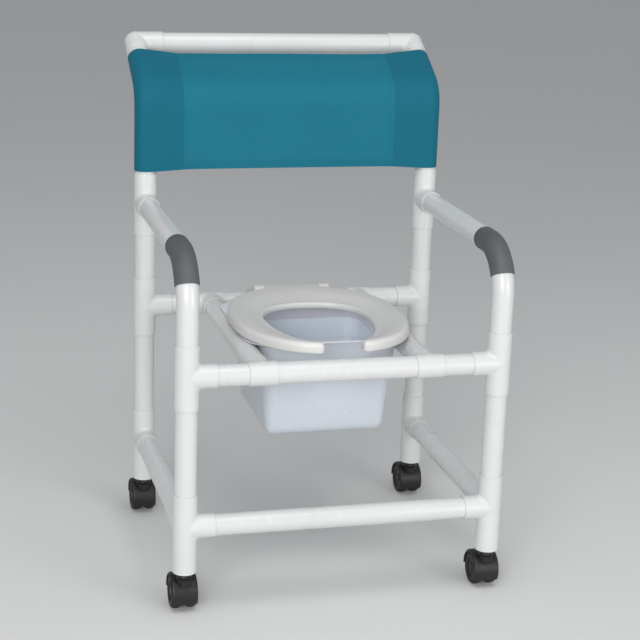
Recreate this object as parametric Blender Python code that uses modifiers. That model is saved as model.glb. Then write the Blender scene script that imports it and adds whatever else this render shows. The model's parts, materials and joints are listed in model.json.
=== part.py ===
"""Rolling commode and shower chair: a pipe frame with moulded fittings, an open-front
seat that hinges up, a drop-in pail, a fabric back and four twin-wheel casters.

Units are metres. +X is the sitter's left-to-right width, -Y is the front, +Z is up.
The origin is on the floor under the middle of the bounding box.
"""

import math

import bmesh
import bpy
from mathutils import Matrix, Vector

# ---------------------------------------------------------------- driving dimensions
GAP = 0.0003                 # clearance between pieces that touch or nest
SIDES = 16                   # facets round a pipe or fitting

POST_SPACING = 0.610         # left to right, between post axes
POST_DEPTH = 0.500           # front to back, between post axes
PIPE_R = 0.0211
PIPE_WALL = 0.0036
FITTING_WALL = 0.0027
SETBACK = 0.140              # push rail behind the rear posts

LOW_RAIL_Z = 0.173
SEAT_RAIL_Z = 0.470
ARM_Z = 0.690
PUSH_RAIL_Z = 1.006
LEAN = math.radians(60)      # upper end of the rear post, from upright
LEAN_BEND_R = 0.064
ARM_BEND_R = 0.086
ARM_BEND_STEPS = 8
LEAN_BEND_STEPS = 6

POST_TEE_HALF = 0.062
ARM_TEE_HALF = 0.065
RAIL_TEE_HALF = 0.027
LOW_FITTING_UP = 0.066
BRANCH_LENGTH = 0.056
RAIL_BRANCH_LENGTH = 0.050
FITTING_BOTTOM_Z = 0.082
SOCKET_FLOOR = 0.012         # closed bottom of the low fittings, bored for the stem

SEAT_RAIL_SPACING = 0.326    # between the two front-to-back rails

GRIP_WALL = 0.0021
GRIP_ON_ARM = 0.030          # straight stretch of grip along the arm
GRIP_BEND_SHARE = 0.66       # how far round the bend the grip goes

SLING_BOTTOM_Z = 0.760
SLING_CLOTH = 0.0012
SLING_POCKET = 0.078         # post axis to the pocket's seam
SLING_PANEL_AHEAD = 0.0115   # panel lies this far in front of the post axes
SLING_TOP_SHORT = 0.052      # pocket stops this far short of the push rail's axis

SEAT_OVER_RAIL = 0.013         # seat's edge outside the axis of a front-to-back rail
SEAT_HALF_LENGTH = 0.2135
SEAT_MID_Y = -0.1065
SEAT_POWER = 2.3             # superellipse exponent of the seat's outline
SEAT_BOTTOM_Z = 0.499
SEAT_THICKNESS = 0.020
HOLE_HALF_WIDTH = 0.110
HOLE_REAR = 0.1075           # hole, from the seat's mid line backward
HOLE_FRONT = 0.1885           # and forward
SEAT_GAP_HALF = 0.040

HINGE_Y = 0.124
HINGE_Z = 0.508
HINGE_PIN_R = 0.004
KNUCKLE_R = 0.0105
TONGUE_HALF = 0.0575
BRACKET_WIDTH = 0.024
CLAMP_WALL = 0.005

BUMPER_R = 0.008
BUMPER_INSIDE_RAIL = 0.005     # from the rail's axis
BUMPER_Y = (-0.150, -0.040)

PAIL_SIDE_CLEARANCE = 0.0014   # between the pail's wall and a rail
PAIL_LENGTH = 0.305          # at the rim
PAIL_FRONT_Y = -0.213
PAIL_BOTTOM_Z = 0.2925
PAIL_SIDE_DRAFT = 0.095      # inward lean of the side walls, as a slope
PAIL_END_DRAFT = 0.129       # of the front and rear walls
PAIL_SHOULDER_Z = 0.414
PAIL_SHOULDER = 0.0025
PAIL_WALL = 0.0026
PAIL_SIDE_FLANGE = 0.0265    # over the rails
PAIL_END_FLANGE = 0.009      # front and rear
PAIL_CORNER_R = 0.045
PAIL_FOOT_CORNER_R = 0.010

WHEEL_R = 0.033
WHEEL_WIDTH = 0.0195
WHEEL_SIDES = 20
WHEEL_DISH = 0.003
WEB_THICKNESS = 0.008
WHEEL_SIDE_PLAY = 0.0008
TRAIL = 0.022
FENDER_PLAY = 0.0018
FENDER_WALL = 0.0022
FENDER_SWEEP = (-5, 205)     # degrees, from straight behind the axle, over the top
FENDER_STEPS = 10            # flats along the fender
HUB_R = 0.012
AXLE_R = 0.004
STEM_R = 0.0055
STEM_LENGTH = 0.040
STEM_SEAT = 0.010            # how deep the stem sits in the hood's neck
NECK_R = 0.011

# ---------------------------------------------------------------- worked-out values
HALF_W = POST_SPACING / 2
FACET = math.cos(math.pi / SIDES)
BORE_R = (PIPE_R + GAP) / FACET
FITTING_R = BORE_R + FITTING_WALL
FRONT_Y = -(POST_DEPTH + SETBACK) / 2
REAR_Y = FRONT_Y + POST_DEPTH
PUSH_RAIL_Y = REAR_Y + SETBACK
KINK_Z = PUSH_RAIL_Z - SETBACK / math.tan(LEAN)
BUTT = PIPE_R + 4 * GAP      # a rail stops this far from the axis of the pipe it meets
SEAT_RAIL_X = SEAT_RAIL_SPACING / 2
SEAT_HALF_WIDTH = SEAT_RAIL_X + SEAT_OVER_RAIL
BUMPER_X = SEAT_RAIL_X - BUMPER_INSIDE_RAIL
PAIL_HALF_WIDTH = SEAT_RAIL_X - PIPE_R - PAIL_SIDE_CLEARANCE    # at the rim
PIPE_TOP_Z = SEAT_RAIL_Z + PIPE_R
FLANGE_Z = PIPE_TOP_Z + GAP
AXLE_Z = WHEEL_R * math.cos(math.pi / WHEEL_SIDES)
FENDER_R = WHEEL_R + FENDER_PLAY
HOOD_HALF_WIDTH = WEB_THICKNESS / 2 + WHEEL_SIDE_PLAY + WHEEL_WIDTH + 0.001
SIDE_NAMES = ((-1, "left"), (1, "right"))

AXIS_TURN = {"X": Matrix.Rotation(math.pi / 2, 4, "Y"),
             "Y": Matrix.Rotation(-math.pi / 2, 4, "X"),
             "Z": Matrix.Identity(4)}


# ---------------------------------------------------------------- scene and materials
def clear_scene():
    for obj in list(bpy.data.objects):
        bpy.data.objects.remove(obj, do_unlink=True)


def new_material(name, colour, roughness, metallic=0.0):
    material = bpy.data.materials.new(name)
    material.use_nodes = True
    shader = material.node_tree.nodes["Principled BSDF"]
    shader.inputs["Base Color"].default_value = (*colour, 1.0)
    shader.inputs["Roughness"].default_value = roughness
    shader.inputs["Metallic"].default_value = metallic
    return material


def link(obj, material):
    """Put a finished piece in the chair's collection, shaded smooth by angle."""
    bpy.data.collections["commode_chair"].objects.link(obj)
    obj.data.materials.clear()
    obj.data.materials.append(material)
    if obj.type == "MESH":
        obj.data.shade_smooth()
        obj.data.set_sharp_from_angle(angle=math.radians(35))
    return obj


# ---------------------------------------------------------------- shape helpers
def mesh_object(name, build):
    """A loose object whose mesh is filled in by build(bm)."""
    bm = bmesh.new()
    build(bm)
    mesh = bpy.data.meshes.new(name)
    bm.to_mesh(mesh)
    bm.free()
    return bpy.data.objects.new(name, mesh)


def cylinder(name, radius, start, length, axis="Z", sides=SIDES):
    """A capped cylinder from a point, for a signed length along one axis."""
    middle = Vector(start) + Vector((axis == "X", axis == "Y", axis == "Z")) * (length / 2)

    def build(bm):
        bmesh.ops.create_cone(bm, cap_ends=True, segments=sides, radius1=radius,
                              radius2=radius, depth=abs(length),
                              matrix=Matrix.Translation(middle) @ AXIS_TURN[axis])
    return mesh_object(name, build)


def cylinder_between(name, radius, start, end, sides=SIDES):
    """A capped cylinder between two points in any direction."""
    start, end = Vector(start), Vector(end)
    turn = (end - start).to_track_quat("Z", "Y").to_matrix().to_4x4()

    def build(bm):
        bmesh.ops.create_cone(bm, cap_ends=True, segments=sides, radius1=radius,
                              radius2=radius, depth=(end - start).length,
                              matrix=Matrix.Translation((start + end) / 2) @ turn)
    return mesh_object(name, build)


def ball(name, radius, centre, sides=SIDES):
    def build(bm):
        bmesh.ops.create_uvsphere(bm, u_segments=sides, v_segments=sides // 2,
                                  radius=radius, matrix=Matrix.Translation(centre))
    return mesh_object(name, build)


def evaluated_mesh(obj):
    """The object's mesh with its modifiers, as a new mesh with welded points."""
    helper = bpy.data.collections["helpers"]
    if obj.name not in helper.objects:
        helper.objects.link(obj)
    bpy.context.view_layer.update()
    depsgraph = bpy.context.evaluated_depsgraph_get()
    mesh = bpy.data.meshes.new_from_object(obj.evaluated_get(depsgraph))
    bm = bmesh.new()
    bm.from_mesh(mesh)
    bmesh.ops.remove_doubles(bm, verts=bm.verts, dist=0.00002)
    bm.to_mesh(mesh)
    bm.free()
    return mesh


def combine(target, tools, operation):
    """Union or difference of the target with each tool; the tools are used up."""
    helper = bpy.data.collections["helpers"]
    for tool in tools:
        helper.objects.link(tool)
        tool.hide_render = True
        tool.display_type = "WIRE"
        cut = target.modifiers.new("cut", "BOOLEAN")
        cut.operation = operation
        cut.solver = "EXACT"
        cut.object = tool
    mesh = evaluated_mesh(target)
    name = target.name
    for obj in [target, *tools]:
        bpy.data.objects.remove(obj, do_unlink=True)
    return bpy.data.objects.new(name, mesh)


def prism(name, outline, axis, low, high):
    """A flat closed outline made solid between low and high along an axis.

    The outline's points are (y, z) for axis X and (x, y) for axis Z.
    """
    curve = bpy.data.curves.new(name, "CURVE")
    curve.dimensions = "2D"
    curve.fill_mode = "BOTH"
    curve.extrude = (high - low) / 2
    spline = curve.splines.new("POLY")
    spline.points.add(len(outline) - 1)
    for point, (u, v) in zip(spline.points, outline):
        point.co = (u, v, 0.0, 1.0)
    spline.use_cyclic_u = True
    flat = bpy.data.objects.new(name + "_outline", curve)
    mesh = evaluated_mesh(flat)
    bpy.data.objects.remove(flat, do_unlink=True)
    bpy.data.curves.remove(curve)
    if axis == "X":
        mesh.transform(Matrix(((0, 0, 1, 0), (1, 0, 0, 0), (0, 1, 0, 0), (0, 0, 0, 1))))
        mesh.transform(Matrix.Translation(((low + high) / 2, 0, 0)))
    else:
        mesh.transform(Matrix.Translation((0, 0, (low + high) / 2)))
    return bpy.data.objects.new(name, mesh)


def arc(centre, radius, start, stop, steps):
    """Points round a circle, from angle start to stop in radians."""
    turn = (stop - start) / steps
    return [(centre[0] + radius * math.cos(start + turn * k),
             centre[1] + radius * math.sin(start + turn * k)) for k in range(steps + 1)]


def hull_outline(centre_a, radius_a, centre_b, radius_b, steps):
    """The belt line round two circles, as one closed outline."""
    a, b = Vector(centre_a), Vector(centre_b)
    heading = math.atan2(b.y - a.y, b.x - a.x)
    spread = math.acos((radius_a - radius_b) / (b - a).length)
    return (arc(a, radius_a, heading + spread, heading + math.tau - spread, steps)
            + arc(b, radius_b, heading - spread, heading + spread, steps))


def tube_path(name, points, radius, wall, sides=SIDES):
    """An open-ended hollow tube along a list of points."""
    curve = bpy.data.curves.new(name, "CURVE")
    curve.dimensions = "3D"
    curve.bevel_depth = radius
    curve.bevel_resolution = (sides - 4) // 2
    curve.use_fill_caps = False
    spline = curve.splines.new("POLY")
    spline.points.add(len(points) - 1)
    for point, place in zip(spline.points, points):
        point.co = (*place, 1.0)
    path = bpy.data.objects.new(name + "_path", curve)
    mesh = evaluated_mesh(path)
    bpy.data.objects.remove(path, do_unlink=True)
    bpy.data.curves.remove(curve)
    tube = bpy.data.objects.new(name, mesh)
    shell = tube.modifiers.new("wall", "SOLIDIFY")
    shell.thickness = wall
    shell.offset = -1.0
    shell.use_even_offset = True
    return tube


def bend_points(corner, before, after, radius, steps):
    """Points round a rounded corner between two unit directions."""
    corner, before, after = Vector(corner), Vector(before), Vector(after)
    turn = before.angle(after)
    setback = radius * math.tan(turn / 2)
    start = corner - before * setback
    inward = (after - before * before.dot(after)).normalized()
    centre = start + inward * radius
    points = []
    for k in range(steps + 1):
        angle = turn * k / steps
        points.append(centre - inward * radius * math.cos(angle)
                      + before * radius * math.sin(angle))
    return points


# ---------------------------------------------------------------- frame: paths
def leg_arm_corner(x):
    return Vector((x, FRONT_Y, ARM_Z))


def leg_arm_path(x):
    """Front leg, bend and arm, from the low fitting to the rear post."""
    foot = Vector((x, FRONT_Y, FITTING_BOTTOM_Z + SOCKET_FLOOR + GAP))
    back = Vector((x, REAR_Y - BUTT, ARM_Z))
    bend = bend_points(leg_arm_corner(x), (0, 0, 1), (0, 1, 0), ARM_BEND_R, ARM_BEND_STEPS)
    return [foot, *bend, back]


def lean_direction():
    return Vector((0, math.sin(LEAN), math.cos(LEAN)))


def upright_path(x, bottom, short):
    """Rear post from a height, round the lean, to short of the push rail's axis."""
    kink = Vector((x, REAR_Y, KINK_Z))
    top = Vector((x, PUSH_RAIL_Y, PUSH_RAIL_Z)) - lean_direction() * short
    bend = bend_points(kink, (0, 0, 1), lean_direction(), LEAN_BEND_R, LEAN_BEND_STEPS)
    return [Vector((x, REAR_Y, bottom)), *bend, top]


# ---------------------------------------------------------------- frame: pipes
def make_pipes(white):
    foot_z = FITTING_BOTTOM_Z + SOCKET_FLOOR + GAP
    for side, name in SIDE_NAMES:
        x = side * HALF_W
        link(tube_path(f"front_leg_arm_{name}", leg_arm_path(x), PIPE_R, PIPE_WALL), white)
        link(tube_path(f"rear_upright_{name}", upright_path(x, foot_z, BUTT), PIPE_R,
                       PIPE_WALL), white)
        low = [(x, FRONT_Y + BUTT, LOW_RAIL_Z), (x, REAR_Y - BUTT, LOW_RAIL_Z)]
        link(tube_path(f"low_side_rail_{name}", low, PIPE_R, PIPE_WALL), white)
        run = [(side * SEAT_RAIL_X, FRONT_Y + BUTT, SEAT_RAIL_Z),
               (side * SEAT_RAIL_X, REAR_Y - BUTT, SEAT_RAIL_Z)]
        link(tube_path(f"pail_rail_{name}", run, PIPE_R, PIPE_WALL), white)
    reach = HALF_W - BUTT
    cross = {"low_front_rail": (FRONT_Y, LOW_RAIL_Z),
             "seat_front_rail": (FRONT_Y, SEAT_RAIL_Z),
             "seat_rear_rail": (REAR_Y, SEAT_RAIL_Z),
             "push_rail": (PUSH_RAIL_Y, PUSH_RAIL_Z)}
    for name, (y, z) in cross.items():
        link(tube_path(name, [(-reach, y, z), (reach, y, z)], PIPE_R, PIPE_WALL), white)


# ---------------------------------------------------------------- frame: fittings
def fitting(name, solids, bores):
    """A moulded fitting: solid sleeves joined together, then bored out."""
    body = combine(solids[0], solids[1:], "UNION") if len(solids) > 1 else solids[0]
    body.name = name
    return combine(body, bores, "DIFFERENCE")


def post_tee(name, x, y, z, half, branches):
    """A sleeve on an upright pipe, with a branch along each (axis, sign) given."""
    solids = [cylinder(name, FITTING_R, (x, y, z - half), 2 * half)]
    bores = [cylinder("bore", BORE_R, (x, y, z - half - GAP), 2 * (half + GAP))]
    for axis, sign in branches:
        solids.append(cylinder("branch", FITTING_R, (x, y, z), sign * BRANCH_LENGTH, axis))
        bores.append(cylinder("bore", BORE_R, (x, y, z), sign * (BRANCH_LENGTH + GAP), axis))
    return fitting(name, solids, bores)


def low_fitting(name, x, y, branches):
    """The foot of a post: rail branches above, a closed socket for a caster below."""
    top = LOW_RAIL_Z + LOW_FITTING_UP
    height = top - FITTING_BOTTOM_Z
    floor_z = FITTING_BOTTOM_Z + SOCKET_FLOOR
    solids = [cylinder(name, FITTING_R, (x, y, FITTING_BOTTOM_Z), height)]
    bores = [cylinder("bore", BORE_R, (x, y, floor_z), top + GAP - floor_z),
             cylinder("stem_bore", STEM_R + GAP, (x, y, FITTING_BOTTOM_Z - GAP),
                      SOCKET_FLOOR + 2 * GAP, sides=12)]
    for axis, sign in branches:
        start = (x, y, LOW_RAIL_Z)
        solids.append(cylinder("branch", FITTING_R, start, sign * BRANCH_LENGTH, axis))
        bores.append(cylinder("bore", BORE_R, start, sign * (BRANCH_LENGTH + GAP), axis))
    return fitting(name, solids, bores)


def rail_tee(name, x, y, sign):
    """A sleeve on a cross rail, with a branch towards the other cross rail."""
    start = (x - RAIL_TEE_HALF, y, SEAT_RAIL_Z)
    middle = (x, y, SEAT_RAIL_Z)
    solids = [cylinder(name, FITTING_R, start, 2 * RAIL_TEE_HALF, "X"),
              cylinder("branch", FITTING_R, middle, sign * RAIL_BRANCH_LENGTH, "Y")]
    bores = [cylinder("bore", BORE_R, (start[0] - GAP, y, SEAT_RAIL_Z),
                      2 * (RAIL_TEE_HALF + GAP), "X"),
             cylinder("bore", BORE_R, middle, sign * (RAIL_BRANCH_LENGTH + GAP), "Y")]
    return fitting(name, solids, bores)


def corner_elbow(name, x, inward):
    """The top corner: a leaning socket and a level socket about one ball."""
    corner = Vector((x, PUSH_RAIL_Y, PUSH_RAIL_Z))
    down = corner - lean_direction() * (BRANCH_LENGTH - PIPE_R)
    across = corner + Vector((inward * BRANCH_LENGTH, 0, 0))
    solids = [ball(name, FITTING_R, corner),
              cylinder_between("leaning", FITTING_R, corner, down),
              cylinder_between("level", FITTING_R, corner, across)]
    bores = [cylinder_between("bore", BORE_R, corner, down + (down - corner) * 0.05),
             cylinder_between("bore", BORE_R, corner, across + (across - corner) * 0.05)]
    return fitting(name, solids, bores)


def make_fittings(white):
    for side, name in SIDE_NAMES:
        x = side * HALF_W
        inward = ("X", -side)
        link(low_fitting(f"front_low_fitting_{name}", x, FRONT_Y, [inward, ("Y", 1)]), white)
        link(low_fitting(f"rear_low_fitting_{name}", x, REAR_Y, [("Y", -1)]), white)
        for end, y in (("front", FRONT_Y), ("rear", REAR_Y)):
            link(post_tee(f"{end}_seat_tee_{name}", x, y, SEAT_RAIL_Z, POST_TEE_HALF,
                          [inward]), white)
        link(post_tee(f"arm_tee_{name}", x, REAR_Y, ARM_Z, ARM_TEE_HALF, [("Y", -1)]), white)
        link(corner_elbow(f"push_rail_elbow_{name}", x, -side), white)
        link(rail_tee(f"front_pail_rail_tee_{name}", side * SEAT_RAIL_X, FRONT_Y, 1), white)
        link(rail_tee(f"rear_pail_rail_tee_{name}", side * SEAT_RAIL_X, REAR_Y, -1), white)


# ---------------------------------------------------------------- soft parts on the frame
def make_grips(grey):
    """Sleeves over the bends where the front legs become the arms."""
    for side, name in SIDE_NAMES:
        x = side * HALF_W
        bend = bend_points(leg_arm_corner(x), (0, 0, 1), (0, 1, 0), ARM_BEND_R, ARM_BEND_STEPS)
        covered = bend[round(ARM_BEND_STEPS * (1 - GRIP_BEND_SHARE)):]
        points = [*covered, covered[-1] + Vector((0, GRIP_ON_ARM, 0))]
        outer = BORE_R + GRIP_WALL
        link(tube_path(f"arm_grip_{name}", points, outer, outer - BORE_R), grey)


def sling_section():
    """One strip of cloth seen from above, as (x, distance behind the post axes).

    It starts at one pocket's seam, runs behind that post, round its outside, back to the
    front of the seam, and across the panel to the other pocket.
    """
    wrap = (PIPE_R + GAP + SLING_CLOTH) / FACET
    seam = HALF_W - SLING_POCKET
    steps = 10

    def tangent(depth, side):
        """Angle on the post where a straight run from the seam at a depth touches it."""
        reach = math.hypot(SLING_POCKET, depth)
        return math.pi + math.atan2(-depth, SLING_POCKET) - side * math.acos(wrap / reach)

    back_end = -SLING_PANEL_AHEAD + 2.5 * SLING_CLOTH
    start = tangent(back_end, 1)
    turn = (tangent(-SLING_PANEL_AHEAD, -1) - math.tau - start) / steps
    right = [(HALF_W + wrap * math.cos(start + turn * k), wrap * math.sin(start + turn * k))
             for k in range(steps + 1)]
    right_half = [(seam, back_end), *right, (seam, -SLING_PANEL_AHEAD)]
    left_half = [(-x, d) for x, d in reversed(right_half)]
    return right_half + left_half


def make_sling(teal):
    """The back: cloth stretched between the rear posts, with a pocket round each."""
    section = sling_section()
    spine = upright_path(0, SLING_BOTTOM_Z, SLING_TOP_SHORT)
    headings = []
    for k, point in enumerate(spine):
        ahead = spine[min(k + 1, len(spine) - 1)]
        behind = spine[max(k - 1, 0)]
        headings.append((ahead - behind).normalized())

    def build(bm):
        rows = []
        for point, heading in zip(spine, headings):
            backward = Vector((0, heading.z, -heading.y))
            rows.append([bm.verts.new(point + Vector((x, 0, 0)) + backward * d)
                         for x, d in section])
        for low, high in zip(rows, rows[1:]):
            for k in range(len(section) - 1):
                bm.faces.new((low[k], low[k + 1], high[k + 1], high[k]))
        bmesh.ops.recalc_face_normals(bm, faces=bm.faces)

    sling = mesh_object("back_sling", build)
    shell = sling.modifiers.new("cloth", "SOLIDIFY")
    shell.thickness = SLING_CLOTH
    shell.offset = 0.0
    link(sling, teal)


# ---------------------------------------------------------------- seat and its hinge
def power_curve(angle, half_x, half_y, power):
    """A point of a superellipse at an angle from +X."""
    c, s = math.cos(angle), math.sin(angle)
    return (math.copysign(abs(c) ** (2 / power), c) * half_x,
            math.copysign(abs(s) ** (2 / power), s) * half_y)


def seat_outline():
    """The open-front ring's outline in x and y, starting at the right arm's tip."""
    tip = math.radians(-80)
    outer = []
    steps = 36
    for k in range(steps + 1):
        angle = tip + (math.pi - 2 * tip) * k / steps
        x, y = power_curve(angle, SEAT_HALF_WIDTH, SEAT_HALF_LENGTH, SEAT_POWER)
        outer.append((x, SEAT_MID_Y + y))
    outer = [(x, y) for x, y in outer if abs(x) > SEAT_GAP_HALF or y > SEAT_MID_Y]
    tip_y = min(y for _, y in outer)
    inner = []
    steps = 28
    open_angle = math.acos(SEAT_GAP_HALF / HOLE_HALF_WIDTH)
    for k in range(steps + 1):
        angle = math.pi + open_angle - (math.pi + 2 * open_angle) * k / steps
        if math.sin(angle) > 0:
            x, y = power_curve(angle, HOLE_HALF_WIDTH, HOLE_REAR, SEAT_POWER)
        else:
            x, y = power_curve(angle, HOLE_HALF_WIDTH, HOLE_FRONT, 2.0)
        inner.append((x, SEAT_MID_Y + y))
    left_tip = [(-SEAT_GAP_HALF, tip_y + 0.004)]
    right_tip = [(SEAT_GAP_HALF, tip_y + 0.004)]
    return outer + left_tip + inner + right_tip


def make_seat(cream):
    top = SEAT_BOTTOM_Z + SEAT_THICKNESS
    ring = prism("seat_ring", seat_outline(), "Z", SEAT_BOTTOM_Z, top)
    rear_y = SEAT_MID_Y + SEAT_HALF_LENGTH
    knuckle = hull_outline((HINGE_Y, HINGE_Z), KNUCKLE_R,
                           (rear_y - 0.030, (SEAT_BOTTOM_Z + top) / 2), SEAT_THICKNESS / 2, 8)
    tongue = prism("tongue", knuckle, "X", -TONGUE_HALF, TONGUE_HALF)
    ring = combine(ring, [tongue], "UNION")
    bore = cylinder("pin_bore", HINGE_PIN_R + GAP, (-TONGUE_HALF - GAP, HINGE_Y, HINGE_Z),
                    2 * (TONGUE_HALF + GAP), "X", 12)
    ring = combine(ring, [bore], "DIFFERENCE")
    ring.name = "seat_ring"
    link(ring, cream)


def make_bumpers(rubber):
    """Pads under the seat that rest on the pail's flange over the rails."""
    low = FLANGE_Z + PAIL_WALL + GAP
    for side, name in SIDE_NAMES:
        for end, y in zip(("front", "rear"), BUMPER_Y):
            link(cylinder(f"seat_bumper_{end}_{name}", BUMPER_R, (side * BUMPER_X, y, low),
                          SEAT_BOTTOM_Z - GAP - low, sides=12), rubber)


def make_hinge(grey, steel):
    """Two clamps on the rear rail that carry the seat's pin."""
    inner = TONGUE_HALF + GAP
    for side, name in SIDE_NAMES:
        near, far = sorted((side * inner, side * (inner + BRACKET_WIDTH)))
        outline = hull_outline((HINGE_Y, HINGE_Z), KNUCKLE_R, (REAR_Y, SEAT_RAIL_Z),
                               BORE_R + CLAMP_WALL, 8)
        bracket = prism(f"hinge_bracket_{name}", outline, "X", near, far)
        rail_bore = cylinder("rail_bore", BORE_R, (near - GAP, REAR_Y, SEAT_RAIL_Z),
                             far - near + 2 * GAP, "X")
        pin_bore = cylinder("pin_bore", HINGE_PIN_R + GAP, (near - GAP, HINGE_Y, HINGE_Z),
                            far - near + 2 * GAP, "X", 12)
        bracket = combine(bracket, [rail_bore, pin_bore], "DIFFERENCE")
        bracket.name = f"hinge_bracket_{name}"
        link(bracket, grey)
    half = inner + BRACKET_WIDTH + 0.002
    link(cylinder("hinge_pin", HINGE_PIN_R, (-half, HINGE_Y, HINGE_Z), 2 * half, "X", 12),
         steel)


# ---------------------------------------------------------------- pail
def rounded_rectangle(half_x, front, back, radius, steps=3):
    corners = (((half_x - radius), (back - radius), 0.0),
               (-(half_x - radius), (back - radius), 0.5),
               (-(half_x - radius), (front + radius), 1.0),
               ((half_x - radius), (front + radius), 1.5))
    points = []
    for x, y, quarter in corners:
        points += arc((x, y), radius, quarter * math.pi, (quarter + 0.5) * math.pi, steps)
    return points


def pail_ring(z, inset=0.0):
    """The pail's outline at a height, pulled in from its tapered wall by inset."""
    depth = FLANGE_Z - z
    return pail_outline(z, PAIL_SIDE_DRAFT * depth + inset, PAIL_END_DRAFT * depth + inset)


def pail_outline(z, inset, end_inset):
    """A level outline pulled in from the rim by inset at the sides and end_inset."""
    back = PAIL_FRONT_Y + PAIL_LENGTH
    return [(x, y, z) for x, y in rounded_rectangle(
        PAIL_HALF_WIDTH - inset, PAIL_FRONT_Y + end_inset, back - end_inset,
        max(PAIL_CORNER_R - end_inset, PAIL_FOOT_CORNER_R))]


def make_pail(blue_white):
    """A tapered pail that hangs by its flange on the two front-to-back rails."""
    rings = [pail_ring(PAIL_BOTTOM_Z, 0.012),
             pail_ring(PAIL_BOTTOM_Z + 0.003, 0.003),
             pail_ring(PAIL_BOTTOM_Z + 0.012),
             pail_ring(PAIL_SHOULDER_Z - 0.004, PAIL_SHOULDER),
             pail_ring(PAIL_SHOULDER_Z),
             pail_ring(FLANGE_Z),
             pail_outline(FLANGE_Z, -PAIL_SIDE_FLANGE, -PAIL_END_FLANGE)]

    def build(bm):
        rows = [[bm.verts.new(p) for p in ring] for ring in rings]
        bm.faces.new(list(reversed(rows[0])))
        count = len(rows[0])
        for low, high in zip(rows, rows[1:]):
            for k in range(count):
                n = (k + 1) % count
                bm.faces.new((low[k], low[n], high[n], high[k]))

    pail = mesh_object("pail", build)
    shell = pail.modifiers.new("wall", "SOLIDIFY")
    shell.thickness = PAIL_WALL
    shell.offset = -1.0
    shell.use_even_offset = True
    link(pail, blue_white)


# ---------------------------------------------------------------- casters
def wheel_mesh(name, x_low, centre_y):
    """A wheel turned about its axle: dished sides and a rounded tread."""
    half = WHEEL_WIDTH / 2
    outer_side = [(AXLE_R + GAP, half), (WHEEL_R * 0.45, half - WHEEL_DISH),
                  (WHEEL_R * 0.92, half), (WHEEL_R, half - WHEEL_DISH)]
    section = outer_side + [(r, -h) for r, h in reversed(outer_side)]

    def build(bm):
        points = [bm.verts.new((r, 0, h)) for r, h in section]
        edges = [bm.edges.new((points[k], points[(k + 1) % len(points)]))
                 for k in range(len(points))]
        bmesh.ops.spin(bm, geom=points + edges, axis=(0, 0, 1), cent=(0, 0, 0),
                       steps=WHEEL_SIDES, angle=math.tau)
        bmesh.ops.remove_doubles(bm, verts=bm.verts, dist=0.00002)
        bmesh.ops.recalc_face_normals(bm, faces=bm.faces)

    wheel = mesh_object(name, build)
    turn = AXIS_TURN["X"] @ Matrix.Rotation(math.pi / WHEEL_SIDES, 4, "Z")
    place = Matrix.Translation((x_low + half, centre_y, AXLE_Z))
    wheel.data.transform(place @ turn)
    return wheel


def hood(name, x, y):
    """Swivel housing: a web between the wheels, a fender over them and a neck."""
    axle = (y + TRAIL, AXLE_Z)
    half_web = WEB_THICKNESS / 2
    start, stop = math.radians(FENDER_SWEEP[0]), math.radians(FENDER_SWEEP[1])
    cover = arc(axle, FENDER_R + FENDER_WALL, start, stop, FENDER_STEPS)
    fender = prism("fender", cover + [axle], "X", x - HOOD_HALF_WIDTH, x + HOOD_HALF_WIDTH)
    neck_low = AXLE_Z + HUB_R
    neck = cylinder("neck", NECK_R, (x, y, neck_low), FITTING_BOTTOM_Z - GAP - neck_low,
                    sides=12)
    well_steps = round(FENDER_STEPS * math.tau / (stop - start))
    well = prism("well", arc(axle, FENDER_R / math.cos(math.pi / well_steps), start,
                             start + math.tau * (1 - 1 / well_steps), well_steps - 1), "X",
                 x - HOOD_HALF_WIDTH - GAP, x + HOOD_HALF_WIDTH + GAP)
    body = combine(fender, [neck], "UNION")
    body = combine(body, [well], "DIFFERENCE")
    rim = arc(axle, FENDER_R + FENDER_WALL / 2, start + 0.05, stop - 0.05, FENDER_STEPS)
    hub = arc(axle, HUB_R, stop + 0.3, math.tau + start - 0.3, 6)
    web = prism("web", rim + hub, "X", x - half_web, x + half_web)
    body = combine(body, [web], "UNION")
    bores = [cylinder("axle_bore", AXLE_R + GAP, (x - half_web - GAP, axle[0], AXLE_Z),
                      WEB_THICKNESS + 2 * GAP, "X", 12),
             cylinder("stem_bore", STEM_R + GAP, (x, y, FITTING_BOTTOM_Z - STEM_SEAT),
                      2 * STEM_SEAT, sides=12)]
    body = combine(body, bores, "DIFFERENCE")
    body.name = name
    return body


def make_caster(corner, x, y, dark, rubber, steel):
    link(hood(f"caster_hood_{corner}", x, y), dark)
    stem_low = FITTING_BOTTOM_Z - STEM_SEAT + GAP
    link(cylinder(f"caster_stem_{corner}", STEM_R, (x, y, stem_low), STEM_LENGTH, sides=12),
         steel)
    half_web = WEB_THICKNESS / 2
    half_axle = half_web + WHEEL_SIDE_PLAY + WHEEL_WIDTH - 0.002
    link(cylinder(f"caster_axle_{corner}", AXLE_R, (x - half_axle, y + TRAIL, AXLE_Z),
                  2 * half_axle, "X", 12), steel)
    near = half_web + WHEEL_SIDE_PLAY
    for name, low in (("left", x - near - WHEEL_WIDTH), ("right", x + near)):
        link(wheel_mesh(f"caster_wheel_{corner}_{name}", low, y + TRAIL), rubber)


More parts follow.
